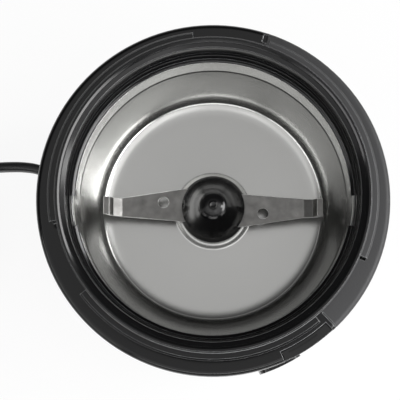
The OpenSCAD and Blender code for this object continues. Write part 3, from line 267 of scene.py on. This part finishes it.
def collar_abs():
    """ABS of the collar: grained on the right of the shoulder, where its lighter colour is partly painted
    light, smooth on its left, polished in the funnel.
    """
    material, tree = empty_material("moulded_collar_abs")
    polar, place = polar_coordinates(tree)
    radius = add(tree, "ShaderNodeSeparateXYZ", {"Vector": polar}).outputs["X"]
    split = add(tree, "ShaderNodeSeparateXYZ", {"Vector": place})
    turn = add(tree, "ShaderNodeMath", {0: split.outputs["Y"], 1: split.outputs["X"]}, operation="ARCTAN2")
    # 0 inside the barrel, 1 from its outer edge outwards
    inner, outer = BARREL_EDGE
    outside = add(
        tree, "ShaderNodeMapRange", {"Value": radius, "From Min": inner * MM, "From Max": outer * MM}
    )
    # the grained part runs from the parting groove at the lower right to the notch at the upper right
    first, last = (math.radians(angle) for angle in GRAINED_LIT_SECTOR)
    after = add(tree, "ShaderNodeMath", {0: turn.outputs[0], 1: first}, operation="GREATER_THAN")
    before = add(tree, "ShaderNodeMath", {0: turn.outputs[0], 1: last}, operation="LESS_THAN")
    sector = add(tree, "ShaderNodeMath", {0: after.outputs[0], 1: before.outputs[0]}, operation="MULTIPLY")
    grained_and_lit = add(
        tree, "ShaderNodeMath", {0: sector.outputs[0], 1: outside.outputs["Result"]}, operation="MULTIPLY"
    )
    # grain of some 0.2 mm, drawn at 0.45 mm so that it shows, and slow changes of sheen over 11 mm
    grain = add(tree, "ShaderNodeTexNoise", {"Vector": place, "Scale": 1 / (0.45 * MM), "Detail": 2.0})
    cloud = add(tree, "ShaderNodeTexNoise", {"Vector": place, "Scale": 1 / (11 * MM), "Detail": 3.0})
    satin = add(tree, "ShaderNodeMapRange", {"Value": cloud.outputs["Fac"], "To Min": 0.5, "To Max": 0.6})
    gloss = add(tree, "ShaderNodeMapRange", {"Value": cloud.outputs["Fac"], "To Min": 0.08, "To Max": 0.2})
    rough = add(
        tree,
        "ShaderNodeMix",
        {FACTOR: grained_and_lit.outputs[0], NUMBER_A: gloss.outputs["Result"], NUMBER_B: satin.outputs["Result"]},
        data_type="FLOAT",
    )
    # the grained part's lighter colour is partly painted light, standing in for the lamps at the right
    tint = add(
        tree,
        "ShaderNodeMix",
        {FACTOR: grained_and_lit.outputs[0], COLOUR_A: tuple(colours().collar), COLOUR_B: tuple(colours().grain)},
        data_type="RGBA",
    )
    strength = add(tree, "ShaderNodeMath", {0: grained_and_lit.outputs[0], 1: 0.4}, operation="MULTIPLY")
    # moulded edges are rounded by some 0.35 mm, and the funnel's mouth slopes in over 0.8 mm
    edges = add(tree, "ShaderNodeBevel", {"Radius": 0.35 * MM}, samples=8)
    inner, outer = FUNNEL_MOUTH
    slope = add(tree, "ShaderNodeMapRange", {"Value": radius, "From Min": inner * MM, "From Max": outer * MM})
    mouth = add(
        tree,
        "ShaderNodeBump",
        {"Height": slope.outputs["Result"], "Distance": 0.5 * MM, "Normal": edges.outputs[0]},
    )
    bump = add(
        tree,
        "ShaderNodeBump",
        {
            "Height": grain.outputs["Fac"],
            "Strength": strength.outputs[0],
            "Distance": 0.06 * MM,
            "Normal": mouth.outputs[0],
        },
    )
    # the edges, over which the lid's lugs slide, get a lighter colour as a painted highlight
    tint = painted_edge_highlight(tree, tint, edges, colours().collar_edge_highlight, 0.9)
    shader = add(
        tree,
        "ShaderNodeBsdfPrincipled",
        {
            "Base Color": tint.outputs[MIXED_COLOUR],
            "Roughness": rough.outputs[MIXED_NUMBER],
            "IOR": 1.46,
            "Normal": bump.outputs["Normal"],
        },
    )
    finish_material(tree, shader)
    return material


def gloss_abs():
    """ABS moulded in a polished mould: near black, with clear reflections and faint flow marks."""
    material, tree = empty_material("moulded_gloss_abs")
    place = add(tree, "ShaderNodeTexCoord").outputs["Object"]
    # sink and flow marks, some 9 mm across
    flow = add(tree, "ShaderNodeTexNoise", {"Vector": place, "Scale": 1 / (9 * MM), "Detail": 2.0})
    # fine scuffs from handling, drawn at 0.7 mm so that they show
    scuff = add(tree, "ShaderNodeTexNoise", {"Vector": place, "Scale": 1 / (0.7 * MM), "Detail": 4.0})
    rough = add(tree, "ShaderNodeMapRange", {"Value": scuff.outputs["Fac"], "To Min": 0.2, "To Max": 0.3})
    bump = add(
        tree, "ShaderNodeBump", {"Height": flow.outputs["Fac"], "Strength": 0.08, "Distance": 0.3 * MM}
    )
    shader = add(
        tree,
        "ShaderNodeBsdfPrincipled",
        {
            "Base Color": tuple(colours().collar),
            "Roughness": rough.outputs["Result"],
            "IOR": 1.54,
            "Normal": bump.outputs["Normal"],
        },
    )
    finish_material(tree, shader)
    return material


def polished_abs():
    """Polished black ABS: sharp reflections, dulled in patches of some 3 mm by hairline scratches."""
    material, tree = empty_material("polished_hub_abs")
    place = add(tree, "ShaderNodeTexCoord").outputs["Object"]
    swirl = add(tree, "ShaderNodeTexNoise", {"Vector": place, "Scale": 1 / (3 * MM), "Detail": 5.0})
    rough = add(tree, "ShaderNodeMapRange", {"Value": swirl.outputs["Fac"], "To Min": 0.08, "To Max": 0.2})
    shader = add(
        tree,
        "ShaderNodeBsdfPrincipled",
        {"Base Color": tuple(colours().hub), "Roughness": rough.outputs["Result"], "IOR": 1.54},
    )
    finish_material(tree, shader)
    return material


def spun_stainless():
    """Pressed stainless sheet with a satin finish: a soft metallic sheen with faint rings round the axis."""
    material, tree = empty_material("satin_stainless_bowl")
    polar, place = polar_coordinates(tree)
    # rings of the finish, 0.25 mm apart and drawn at 0.6 mm so that they show
    rings = add(tree, "ShaderNodeTexNoise", {"Vector": polar, "Scale": 1 / (0.6 * MM), "Detail": 3.0})
    # the pressing leaves the sheet faintly wavy, over some 14 mm
    cloud = add(tree, "ShaderNodeTexNoise", {"Vector": place, "Scale": 1 / (14 * MM), "Detail": 4.0})
    blend = add(
        tree,
        "ShaderNodeMix",
        {FACTOR: 0.75, NUMBER_A: rings.outputs["Fac"], NUMBER_B: cloud.outputs["Fac"]},
        data_type="FLOAT",
    )
    rough = add(
        tree, "ShaderNodeMapRange", {"Value": blend.outputs[MIXED_NUMBER], "To Min": 0.18, "To Max": 0.28}
    )
    waves = add(
        tree, "ShaderNodeBump", {"Height": cloud.outputs["Fac"], "Strength": 0.3, "Distance": 0.4 * MM}
    )
    bump = add(
        tree,
        "ShaderNodeBump",
        {"Height": rings.outputs["Fac"], "Strength": 0.01, "Distance": 0.03 * MM, "Normal": waves.outputs[0]},
    )
    shader = add(
        tree,
        "ShaderNodeBsdfPrincipled",
        {
            "Base Color": tuple(colours().steel),
            "Metallic": 1.0,
            "Roughness": rough.outputs["Result"],
            "Normal": bump.outputs["Normal"],
        },
    )
    finish_material(tree, shader)
    return material


def blade_steel():
    """Blanked and tumbled stainless strip: a mottled grey sheen, with a painted highlight on its rounded
    edges.
    """
    material, tree = empty_material("tumbled_stainless_blade")
    place = add(tree, "ShaderNodeTexCoord").outputs["Object"]
    # marks of the tumbling stones, some 3.5 mm across
    mottle = add(tree, "ShaderNodeTexNoise", {"Vector": place, "Scale": 1 / (3.5 * MM), "Detail": 6.0})
    patches = add(
        tree, "ShaderNodeMapRange", {"Value": mottle.outputs["Fac"], "From Min": 0.3, "From Max": 0.7}
    )
    steel = colours().blade
    tint = add(
        tree,
        "ShaderNodeMix",
        {FACTOR: patches.outputs["Result"], COLOUR_A: darker(steel, 0.6), COLOUR_B: tuple(steel)},
        data_type="RGBA",
    )
    rough = add(tree, "ShaderNodeMapRange", {"Value": mottle.outputs["Fac"], "To Min": 0.42, "To Max": 0.22})
    # the edges are rounded by some 0.25 mm and get a lighter colour as a painted highlight, and the faces are
    # lightly dented
    edges = add(tree, "ShaderNodeBevel", {"Radius": 0.25 * MM}, samples=8)
    tint = painted_edge_highlight(tree, tint, edges, colours().blade_edge_highlight, 0.9)
    dents = add(
        tree,
        "ShaderNodeBump",
        {"Height": mottle.outputs["Fac"], "Strength": 0.6, "Distance": 0.2 * MM, "Normal": edges.outputs[0]},
    )
    shader = add(
        tree,
        "ShaderNodeBsdfPrincipled",
        {
            "Base Color": tint.outputs[MIXED_COLOUR],
            "Metallic": 1.0,
            "Roughness": rough.outputs["Result"],
            "Normal": dents.outputs[0],
        },
    )
    finish_material(tree, shader)
    return material


def grained_material(name, colour, low, high, grain_mm, metallic=0.0, ior=1.5):
    """A plain finish whose roughness and tone vary a little at a given size of grain."""
    material, tree = empty_material(name)
    place = add(tree, "ShaderNodeTexCoord").outputs["Object"]
    grain = add(tree, "ShaderNodeTexNoise", {"Vector": place, "Scale": 1 / (grain_mm * MM)})
    rough = add(tree, "ShaderNodeMapRange", {"Value": grain.outputs["Fac"], "To Min": low, "To Max": high})
    tint = add(
        tree,
        "ShaderNodeMix",
        {FACTOR: grain.outputs["Fac"], COLOUR_A: darker(colour, 0.85), COLOUR_B: tuple(colour)},
        data_type="RGBA",
    )
    inputs = {
        "Base Color": tint.outputs[MIXED_COLOUR],
        "Metallic": metallic,
        "Roughness": rough.outputs["Result"],
    }
    if not metallic:
        inputs["IOR"] = ior
    finish_material(tree, add(tree, "ShaderNodeBsdfPrincipled", inputs))
    return material


def grained_metal(name, hex_colour, low, high, grain_mm):
    return grained_material(name, linear(hex_colour), low, high, grain_mm, metallic=1.0)


def inner_finishes():
    """Finishes of the pieces inside the shell, by node."""
    satin = bpy.data.materials["moulded_satin_abs"]
    # soft, dull and nearly black
    rubber = grained_material("moulded_rubber", colours().rubber, 0.6, 0.8, 0.4, ior=1.52)
    # half bright and a little blue, ground bright, and drawn through a die
    plated = grained_metal("zinc_plated_steel", "#a9adb0", 0.3, 0.45, 0.8)
    ground = grained_metal("ground_steel", "#c4c4c2", 0.15, 0.3, 0.3)
    wire = grained_metal("spring_wire", "#9c9c9a", 0.25, 0.4, 0.3)
    # stamped sheets under a thin varnish, wire under a clear reddish enamel, and oily pressed powder
    laminations = grained_metal("varnished_laminations", "#5f6266", 0.4, 0.6, 0.5)
    copper = grained_metal("enamelled_copper", "#b4652e", 0.3, 0.45, 0.6)
    bronze = grained_metal("sintered_bronze", "#8c6a3c", 0.45, 0.6, 0.3)
    # baked carbon: matt and dark
    carbon = grained_material("electrographite", linear("#2c2c2e"), 0.5, 0.7, 0.3)
    # moulded milky white, and moulded red with a slippery sheen
    nylon = grained_material("natural_nylon", linear("#d9d7ce"), 0.35, 0.5, 1.0, ior=1.53)
    actuator = grained_material("red_acetal", linear("#a83226"), 0.3, 0.4, 0.5, ior=1.48)
    # extruded brown sheath, and a soft whitish ring
    leads = grained_material("brown_lead_insulation", linear("#7a4a2c"), 0.4, 0.5, 1.0)
    silicone = grained_material("white_silicone", linear("#d2d2cb"), 0.4, 0.55, 0.6, ior=1.41)
    finishes = {
        satin: ["support_deck", "brush_holders", "power_switch", "safety_switch"],
        rubber: ["shaft_seal", "motor_grommets", "rubber_feet"],
        plated: [
            "collar_screws", "upper_motor_bracket", "lower_motor_bracket", "stator_bolts",
            "motor_screws", "clamp_screws", "base_screws",
        ],
        ground: ["motor_shaft"],
        wire: ["brush_springs", "button_spring", "interlock_spring"],
        laminations: ["stator_core", "armature_core"],
        copper: ["field_coils", "armature_winding", "commutator"],
        bronze: ["upper_bearing", "lower_bearing"],
        carbon: ["carbon_brushes"],
        nylon: ["cooling_fan", "switch_carrier", "cord_clamp", "cord_tie"],
        actuator: ["power_switch_plunger", "safety_switch_plunger"],
        leads: ["internal_leads"],
        silicone: ["bowl_gasket"],
    }
    for material, names in finishes.items():
        for name in names:
            paint(name, material)


def paper_sweep(colour):
    """Matt white paper: seen straight or in a reflection, nine tenths of it glow and the rest takes shadow."""
    material, tree = empty_material("paper_sweep")
    paper = add(tree, "ShaderNodeBsdfDiffuse", {"Color": tuple(colour)})
    white = add(tree, "ShaderNodeEmission", {"Color": (1, 1, 1, 1), "Strength": 1.0})
    path = add(tree, "ShaderNodeLightPath")
    seen = add(
        tree,
        "ShaderNodeMath",
        {0: path.outputs["Is Camera Ray"], 1: path.outputs["Is Glossy Ray"]},
        operation="MAXIMUM",
    )
    seen = add(
        tree,
        "ShaderNodeMath",
        {0: seen.outputs[0], 1: path.outputs["Is Transmission Ray"]},
        operation="MAXIMUM",
    )
    share = add(tree, "ShaderNodeMath", {0: seen.outputs[0], 1: 0.9}, operation="MULTIPLY")
    mixed = add(tree, "ShaderNodeMixShader", {0: share.outputs[0], 1: paper.outputs[0], 2: white.outputs[0]})
    finish_material(tree, mixed)
    return material


# ---------------------------------------------------------------- shapes


def piece(name, points, faces, material, body, sharp=32):
    """A mesh object in the shared frame, from points in millimetres, that rides on a body."""
    mesh = bpy.data.meshes.new(name)
    mesh.from_pydata([Vector(p) * MM for p in points], [], faces)
    mesh.validate()
    mesh.polygons.foreach_set("use_smooth", [True] * len(mesh.polygons))
    mesh.set_sharp_from_angle(angle=math.radians(sharp))
    mesh.materials.append(material)
    obj = bpy.data.objects.new(name, mesh)
    bpy.context.scene.collection.objects.link(obj)
    if body:
        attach(obj, body)
    return obj


def arc(r, z, radius, start, end, count):
    """Points of an arc in a profile, from one angle in degrees to another."""
    angles = [math.radians(start + (end - start) * k / count) for k in range(count + 1)]
    return [(r + radius * math.cos(a), z + radius * math.sin(a)) for a in angles]


def lathe(name, profile, material, body, steps=360, sharp=32):
    """Closed profiles of radii and heights, in millimetres, one for each angle round the axis."""
    points, faces = [], []
    count = len(profile(0))
    for i in range(steps):
        a = 2 * math.pi * i / steps
        points += [(r * math.cos(a), r * math.sin(a), z) for r, z in profile(a)]
    for i in range(steps):
        n = (i + 1) % steps
        for k in range(count):
            m = (k + 1) % count
            faces.append((i * count + k, n * count + k, n * count + m, i * count + m))
    return piece(name, points, faces, material, body, sharp)


def tube(name, route, section, material, body, sharp=32):
    """A closed tube in millimetres: a section that stays upright, led along a route."""
    points, faces = [], []
    count = len(section)
    for i, place in enumerate(route):
        along = (route[min(i + 1, len(route) - 1)] - route[max(i - 1, 0)]).normalized()
        side = Vector((0, 0, 1)).cross(along).normalized()
        up = along.cross(side)
        points += [place + side * x + up * y for x, y in section]
    for i in range(len(route) - 1):
        for k in range(count):
            m = (k + 1) % count
            faces.append((i * count + k, i * count + m, (i + 1) * count + m, (i + 1) * count + k))
    last = (len(route) - 1) * count
    faces.append(tuple(reversed(range(count))))
    faces.append(tuple(range(last, last + count)))
    return piece(name, points, faces, material, body, sharp)


def smooth_route(points, steps):
    """A Catmull-Rom curve through the points, each with an arrival and a departure of its own."""
    points = [Vector(p) for p in points]
    ends = [points[0] * 2 - points[1]] + points + [points[-1] * 2 - points[-2]]
    route = []
    for i in range(1, len(ends) - 2):
        a, b, c, d = ends[i - 1 : i + 3]
        for k in range(steps):
            t = k / steps
            square, cube = 2 * a - 5 * b + 4 * c - d, 3 * b - a - 3 * c + d
            route.append(0.5 * (2 * b + (c - a) * t + square * t**2 + cube * t**3))
    return route + [points[-1]]


def ease(value, low, high):
    """0 up to low, 1 from high, and smooth between them."""
    t = min(max((value - low) / (high - low), 0), 1)
    return t * t * (3 - 2 * t)


# ---------------------------------------------------------------- cord

# The cord's route from the strain relief to the coil, and from the coil to the plug, as in the solids
TO_COIL = [
    (-55.8, 22.5, 12), (-58.6, 23.6, 12), (-62, 24.5, 11.8), (-66, 25, 11), (-70, 25.2, 9.7),
    (-74, 25.3, 8), (-78, 25.4, 6.3), (-82, 25.5, 4.7), (-86, 25.5, 3.6), (-90, 25.5, 3),
    (-95, 25.5, 2.8), (-100, 25.5, 2.7), (-104, 25.5, 2.7),
]
TO_PLUG = [
    (-146.4, -13, 8.1), (-146.8, -20, 8), (-147, -27, 7.8), (-146.4, -33, 7.5), (-144.4, -38, 7.2),
    (-141, -42.3, 6.9), (-136.7, -45.6, 6.7), (-132, -47.5, 6.5), (-129.5, -48, 6.5), (-127, -48, 6.5),
]
COIL_CENTRE = (-112, -5.1)
# The coil, in degrees along its turns: from where to where, in what steps, where it changes to the lane
# inside or outside its own, and where it climbs on to its first layer
COIL_ANGLES = range(90, 1984, 9)
LANE_CHANGES = ((400, 450, -1), (760, 810, -1), (1380, 1430, 1), (1690, 1740, 1), (1935, 1990, 1))
CLIMB = (1070, 1120)


def coil_point(angle, radius, pitch, low, high):
    """A point of the coil: three turns inwards on the table, then outwards again on top of them."""
    lane = 1 + sum(step * ease(angle, start, end) for start, end, step in LANE_CHANGES)
    r = radius + pitch * lane
    z = low + (high - low) * ease(angle, *CLIMB)
    a = math.radians(angle)
    return (COIL_CENTRE[0] + r * math.cos(a), COIL_CENTRE[1] + r * math.sin(a), z)


def cord_route(size):
    """Points in millimetres from the strain relief to the plug; the coil's two layers lie a width apart."""
    radius, pitch, width = size.coil_radius / MM, size.pitch / MM, size.width / MM
    coil = [Vector(coil_point(a, radius, pitch, width / 2, width * 1.5)) for a in COIL_ANGLES]
    return smooth_route(TO_COIL, 4) + coil + smooth_route([coil[-1]] + TO_PLUG, 5)[1:]


def cord_section(width, thickness, count=20):
    """Outline of a flat twin cord on edge: two round conductors side by side with a shallow groove."""
    # how square the outline is, then the groove's depth and half its breadth as shares of the cord's
    square, depth, breadth = 3.2, 0.17, 0.13
    section = []
    for k in range(count):
        a = 2 * math.pi * k / count
        x, y = math.cos(a), math.sin(a)
        scale = 1 / (abs(x) ** square + abs(y) ** square) ** (1 / square)
        px, py = x * scale * thickness / 2, y * scale * width / 2
        pinch = 1 - depth * math.exp(-((py / (width * breadth)) ** 2))
        section.append((px * pinch, py))
    return section


class GRINDER_OT_cord(bpy.types.Operator):
    """Flat twin cord with its coil, tie and plug"""

    bl_idname = "grinder.cord"
    bl_label = "Power cord"

    def execute(self, context):
        size = context.scene.grinder_cord
        # soft PVC, extruded: a dull sheen
        pvc = grained_material("soft_pvc", colours().cord, 0.38, 0.5, 0.8, ior=1.53)
        route = cord_route(size)
        flex = tube(
            "flat_cord", route, cord_section(size.width / MM, size.thickness / MM), pvc, "housing", sharp=60
        )
        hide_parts("power_cord", "cord_coil")
        for name in ("strain_relief", "plug_body", "clamped_cord"):
            paint(name, pvc)
        # brass under thin nickel: bright, with a yellow cast
        paint("plug_pins", grained_metal("nickelled_brass", "#c9b98a", 0.2, 0.35, 0.5))
        return {"FINISHED"}


# ---------------------------------------------------------------- body, bowl and blade

# Middles of the bowl's two ears, the half width of their tabs, and where an ear begins to fade into
# the rim and has done so, all in degrees round the axis
EARS = (-5.5, 185.5)
TAB_HALF = 5.5
EAR_FADE = (5, 10)
# Slope of the bowl's floor where the heel begins, in degrees
FLOOR_TURN = 22
# Sizes in millimetres: a tab's thickness and chamfer, and the rounding of the rim
TAB, TAB_CHAMFER, RIM_ROUND = 0.2, 0.1, 0.12
# Steps of the bead, from the band over it inwards and up, then from the wall under it outwards and up
BAND_STEPS = ((0, 0.2), (0.02, 0.1), (0.08, 0))
WALL_STEPS = ((0.03, -0.5), (0, -0.6))
# How far an ear's root stands outside the wall under it, the outer side's steps down and up
# from the bead, and the width of the slope up to the raised ring
EAR_ROOT = 0.06
OUTER_STEPS = (0.5, 0.6)
BOSS_SLOPE = 2


class GRINDER_OT_body(bpy.types.Operator):
    """Shell, base plate, collar, key and push button"""

    bl_idname = "grinder.body"
    bl_label = "Shell, collar and button"

    def execute(self, context):
        satin, gloss = satin_abs(), gloss_abs()
        for name in ("housing_shell", "base_plate"):
            paint(name, satin)
        paint("top_collar", collar_abs())
        for name in ("interlock_key", "power_button"):
            paint(name, gloss)
        return {"FINISHED"}


def bowl_profile(bowl):
    """The bowl's section in millimetres, as a function of the angle round the axis."""
    rim_r, wall, flange = bowl.radius / MM, bowl.wall / MM, bowl.flange / MM
    low_r, foot_r = rim_r - bowl.inset / MM, bowl.foot / MM
    heel, rise = bowl.heel / MM, bowl.rise / MM
    lowest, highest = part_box("grinding_bowl")
    floor_z = lowest[2] / MM + wall
    tab_z = highest[2] / MM
    rim_z = floor_z + bowl.depth / MM
    bead_z = rim_z - bowl.bead / MM
    boss_r, boss_z, bore = bowl.boss / MM, floor_z + bowl.boss_rise / MM, bowl.bore / MM
    # lean of the wall over the heel, in degrees, and where the heel and the rising floor meet
    lean = math.degrees(math.atan2(low_r - foot_r, bead_z - floor_z - heel))
    turn = math.radians(FLOOR_TURN)
    heel_r = foot_r - heel * math.cos(math.radians(lean))
    edge_r = heel_r + heel * math.sin(turn)
    flat_r = edge_r - rise * math.sin(turn)
    edge_z = floor_z + rise * (1 - math.cos(turn))
    heel_z = edge_z + heel * math.cos(turn)

    def profile(angle):
        # near the left and the right the band over the bead leans out, and rises as a tab
        off = min(abs((math.degrees(angle) - middle + 180) % 360 - 180) for middle in EARS)
        ear = 1 - ease(off, *EAR_FADE)
        band_r = rim_r + bowl.reach / MM * ear
        root_r = rim_r + (low_r + EAR_ROOT - rim_r) * ear
        top_z = tab_z if off < TAB_HALF else rim_z
        inner = [(flange, rim_z), (band_r + TAB, rim_z), (band_r + TAB, top_z - TAB_CHAMFER)]
        inner += arc(band_r + RIM_ROUND, top_z - RIM_ROUND, RIM_ROUND, 90, 180, 4)
        inner += [(root_r - inwards * (1 - ear), bead_z + up) for inwards, up in BAND_STEPS]
        inner += [(low_r + outwards, bead_z + up) for outwards, up in WALL_STEPS]
        inner += arc(heel_r, heel_z, heel, -lean, FLOOR_TURN - 90, 20)
        inner += arc(flat_r, floor_z + rise, rise, FLOOR_TURN - 90, -90, 20)
        slope = [BOSS_SLOPE * k / 10 for k in range(11)]
        inner += [(boss_r - k, floor_z + (boss_z - floor_z) * ease(k, 0, BOSS_SLOPE)) for k in slope]
        outer = [(bore, boss_z), (bore, boss_z - wall), (boss_r - BOSS_SLOPE, boss_z - wall)]
        outer += [(boss_r, floor_z - wall)]
        outer += arc(flat_r, floor_z + rise, rise + wall, -90, FLOOR_TURN - 90, 6)
        outer += arc(heel_r, heel_z, heel + wall, FLOOR_TURN - 90, -lean, 8)
        down, up = OUTER_STEPS
        outer += [(low_r + wall, bead_z - down), (root_r + wall, bead_z + up)]
        return inner + outer + [(band_r + wall, rim_z - wall), (flange, rim_z - wall)]

    return profile


class GRINDER_OT_bowl(bpy.types.Operator):
    """Pressed stainless bowl"""

    bl_idname = "grinder.bowl"
    bl_label = "Bowl"

    def execute(self, context):
        profile = bowl_profile(context.scene.grinder_bowl)
        made = lathe("pressed_bowl", profile, spun_stainless(), "housing", sharp=24)
        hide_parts("grinding_bowl")
        return {"FINISHED"}


class GRINDER_OT_blade(bpy.types.Operator):
    """Blade, hub skirt and domed cap"""

    bl_idname = "grinder.blade"
    bl_label = "Blade and hub"

    def execute(self, context):
        paint("blade", blade_steel())
        polished = polished_abs()
        paint("blade_hub", polished)
        paint("hub_cap", polished)
        return {"FINISHED"}


def squeeze(name):
    """Gives a spring a mesh of its own."""
    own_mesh(NODES[name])


class GRINDER_OT_inside(bpy.types.Operator):
    """Motor, switches, screws and feet"""

    bl_idname = "grinder.inside"
    bl_label = "Inner pieces"

    def execute(self, context):
        inner_finishes()
        squeeze("button_spring")
        squeeze("interlock_spring")
        return {"FINISHED"}


# ---------------------------------------------------------------- stage

SENSOR = 36  # width of the camera's sensor, in millimetres
FLOOR_HALF = 3000  # half the floor's width, in millimetres
LAMP_DISTANCE = 0.9
LAMP_AIM = Vector((0, 0, 0.12))
# Name, azimuth, angle off the zenith, width and height, all in degrees as the bowl sees the lamp,
# then the setting that its radiance comes from and its share of that
LAMPS = (
    ("key", -10, 56, 80, 18, "key", 1),
    ("strip", 0, 40, 14, 8, "key", 1),
    ("front", -90, 56, 60, 12, "front", 1),
    ("left", -150, 56, 50, 12, "left", 1),
    ("fill_right", -20, 28, 90, 26, "fill", 1),
    ("fill_front", -90, 28, 60, 26, "fill", 0.5),
    ("fill_left", -150, 28, 60, 26, "fill", 0.6),
)
# Middle of the pale ceiling, a little in front of overhead, and how far from it, in degrees,
# the dark walls end and the full light begins
CEILING_MIDDLE = (0.05, -0.1, 0.99)
CEILING_EDGE = 46
CEILING_FULL = 18


def softbox(name, azimuth, off_zenith, wide, high, radiance):
    """An area lamp that faces the bowl; its place and extent are angles in degrees, seen from the bowl."""
    a, b = math.radians(azimuth), math.radians(off_zenith)
    towards = Vector((math.sin(b) * math.cos(a), math.sin(b) * math.sin(a), math.cos(b)))
    place = LAMP_AIM + LAMP_DISTANCE * towards
    light = bpy.data.lights.new(name, "AREA")
    light.shape = "RECTANGLE"
    light.size = 2 * LAMP_DISTANCE * math.sin(b) * math.tan(math.radians(wide / 2))
    light.size_y = 2 * LAMP_DISTANCE * math.tan(math.radians(high / 2))
    light.energy = radiance * math.pi * light.size * light.size_y
    obj = bpy.data.objects.new(name, light)
    obj.location = place
    obj.rotation_euler = (LAMP_AIM - place).to_track_quat("-Z", "Y").to_euler()
    bpy.context.scene.collection.objects.link(obj)


def studio_camera(scene, stage):
    camera = bpy.data.cameras.new("camera")
    camera.lens = stage.lens
    camera.sensor_width = SENSOR
    camera.shift_x = stage.shift
    camera.shift_y = stage.rise
    view = bpy.data.objects.new("camera", camera)
    view.location = (0, -stage.camera_back, stage.camera_height)
    aim = Vector((0, 0, stage.aim_height))
    view.rotation_euler = (aim - view.location).to_track_quat("-Z", "Y").to_euler()
    scene.collection.objects.link(view)
    scene.camera = view


def studio_floor(colour):
    corners = [(-1, -1), (1, -1), (1, 1), (-1, 1)]
    points = [(x * FLOOR_HALF, y * FLOOR_HALF, 0) for x, y in corners]
    floor = piece("floor", points, [(0, 1, 2, 3)], paper_sweep(colour), None)


def studio_world(scene, stage):
    """A room with a pale ceiling above dark walls, which the camera sees as white."""
    world = bpy.data.worlds.new("studio")
    scene.world = world
    world.use_nodes = True
    tree = world.node_tree
    tree.nodes.clear()
    place = add(tree, "ShaderNodeTexCoord")
    along = add(
        tree,
        "ShaderNodeVectorMath",
        {0: place.outputs["Generated"], 1: CEILING_MIDDLE},
        operation="DOT_PRODUCT",
    )
    level = add(
        tree,
        "ShaderNodeMapRange",
        {
            "Value": along.outputs["Value"],
            "From Min": math.cos(math.radians(CEILING_EDGE)),
            "From Max": math.cos(math.radians(CEILING_FULL)),
            "To Min": stage.horizon,
            "To Max": stage.ceiling,
        },
        interpolation_type="SMOOTHSTEP",
    )
    path = add(tree, "ShaderNodeLightPath")
    strength = add(
        tree,
        "ShaderNodeMix",
        {FACTOR: path.outputs["Is Camera Ray"], NUMBER_A: level.outputs["Result"], NUMBER_B: 1.0},
        data_type="FLOAT",
    )
    sky = add(
        tree, "ShaderNodeBackground", {"Color": (1, 1, 1, 1), "Strength": strength.outputs[MIXED_NUMBER]}
    )
    add(tree, "ShaderNodeOutputWorld", {"Surface": sky.outputs[0]})


class GRINDER_OT_stage(bpy.types.Operator):
    """White paper floor, studio lamps, world and camera"""

    bl_idname = "grinder.stage"
    bl_label = "Stage and camera"

    def execute(self, context):
        scene = context.scene
        stage = scene.grinder_stage
        scene.view_settings.view_transform = "Standard"
        studio_camera(scene, stage)
        studio_floor(stage.floor)
        studio_world(scene, stage)
        for name, azimuth, off_zenith, wide, high, setting, share in LAMPS:
            softbox(name, azimuth, off_zenith, wide, high, getattr(stage, setting) * share)
        return {"FINISHED"}


# ---------------------------------------------------------------- panel and registration

STEPS = (
    GRINDER_OT_stage,
    GRINDER_OT_cord,
    GRINDER_OT_body,
    GRINDER_OT_bowl,
    GRINDER_OT_blade,
    GRINDER_OT_inside,
)


class GRINDER_PT_looks(bpy.types.Panel):
    """Sizes, colours and steps of the grinder's looks"""

    bl_idname = "GRINDER_PT_looks"
    bl_label = "Spice grinder"
    bl_space_type = "VIEW_3D"
    bl_region_type = "UI"
    bl_category = "Grinder"

    def draw(self, context):
        for attribute, group in SETTINGS:
            box = self.layout.box()
            for name in group.__annotations__:
                box.prop(getattr(context.scene, attribute), name)
        for step in STEPS:
            self.layout.operator(step.bl_idname)


CLASSES = tuple(group for _, group in SETTINGS) + STEPS + (GRINDER_PT_looks,)


def register():
    for item in CLASSES:
        bpy.utils.register_class(item)
    for attribute, group in SETTINGS:
        setattr(bpy.types.Scene, attribute, PointerProperty(type=group))


def unregister():
    for attribute, _ in SETTINGS:
        delattr(bpy.types.Scene, attribute)
    for item in reversed(CLASSES):
        bpy.utils.unregister_class(item)


def main():
    register()
    for step in STEPS:
        group, name = step.bl_idname.split(".")
        getattr(getattr(bpy.ops, group), name)()


if __name__ == "__main__":
    main()
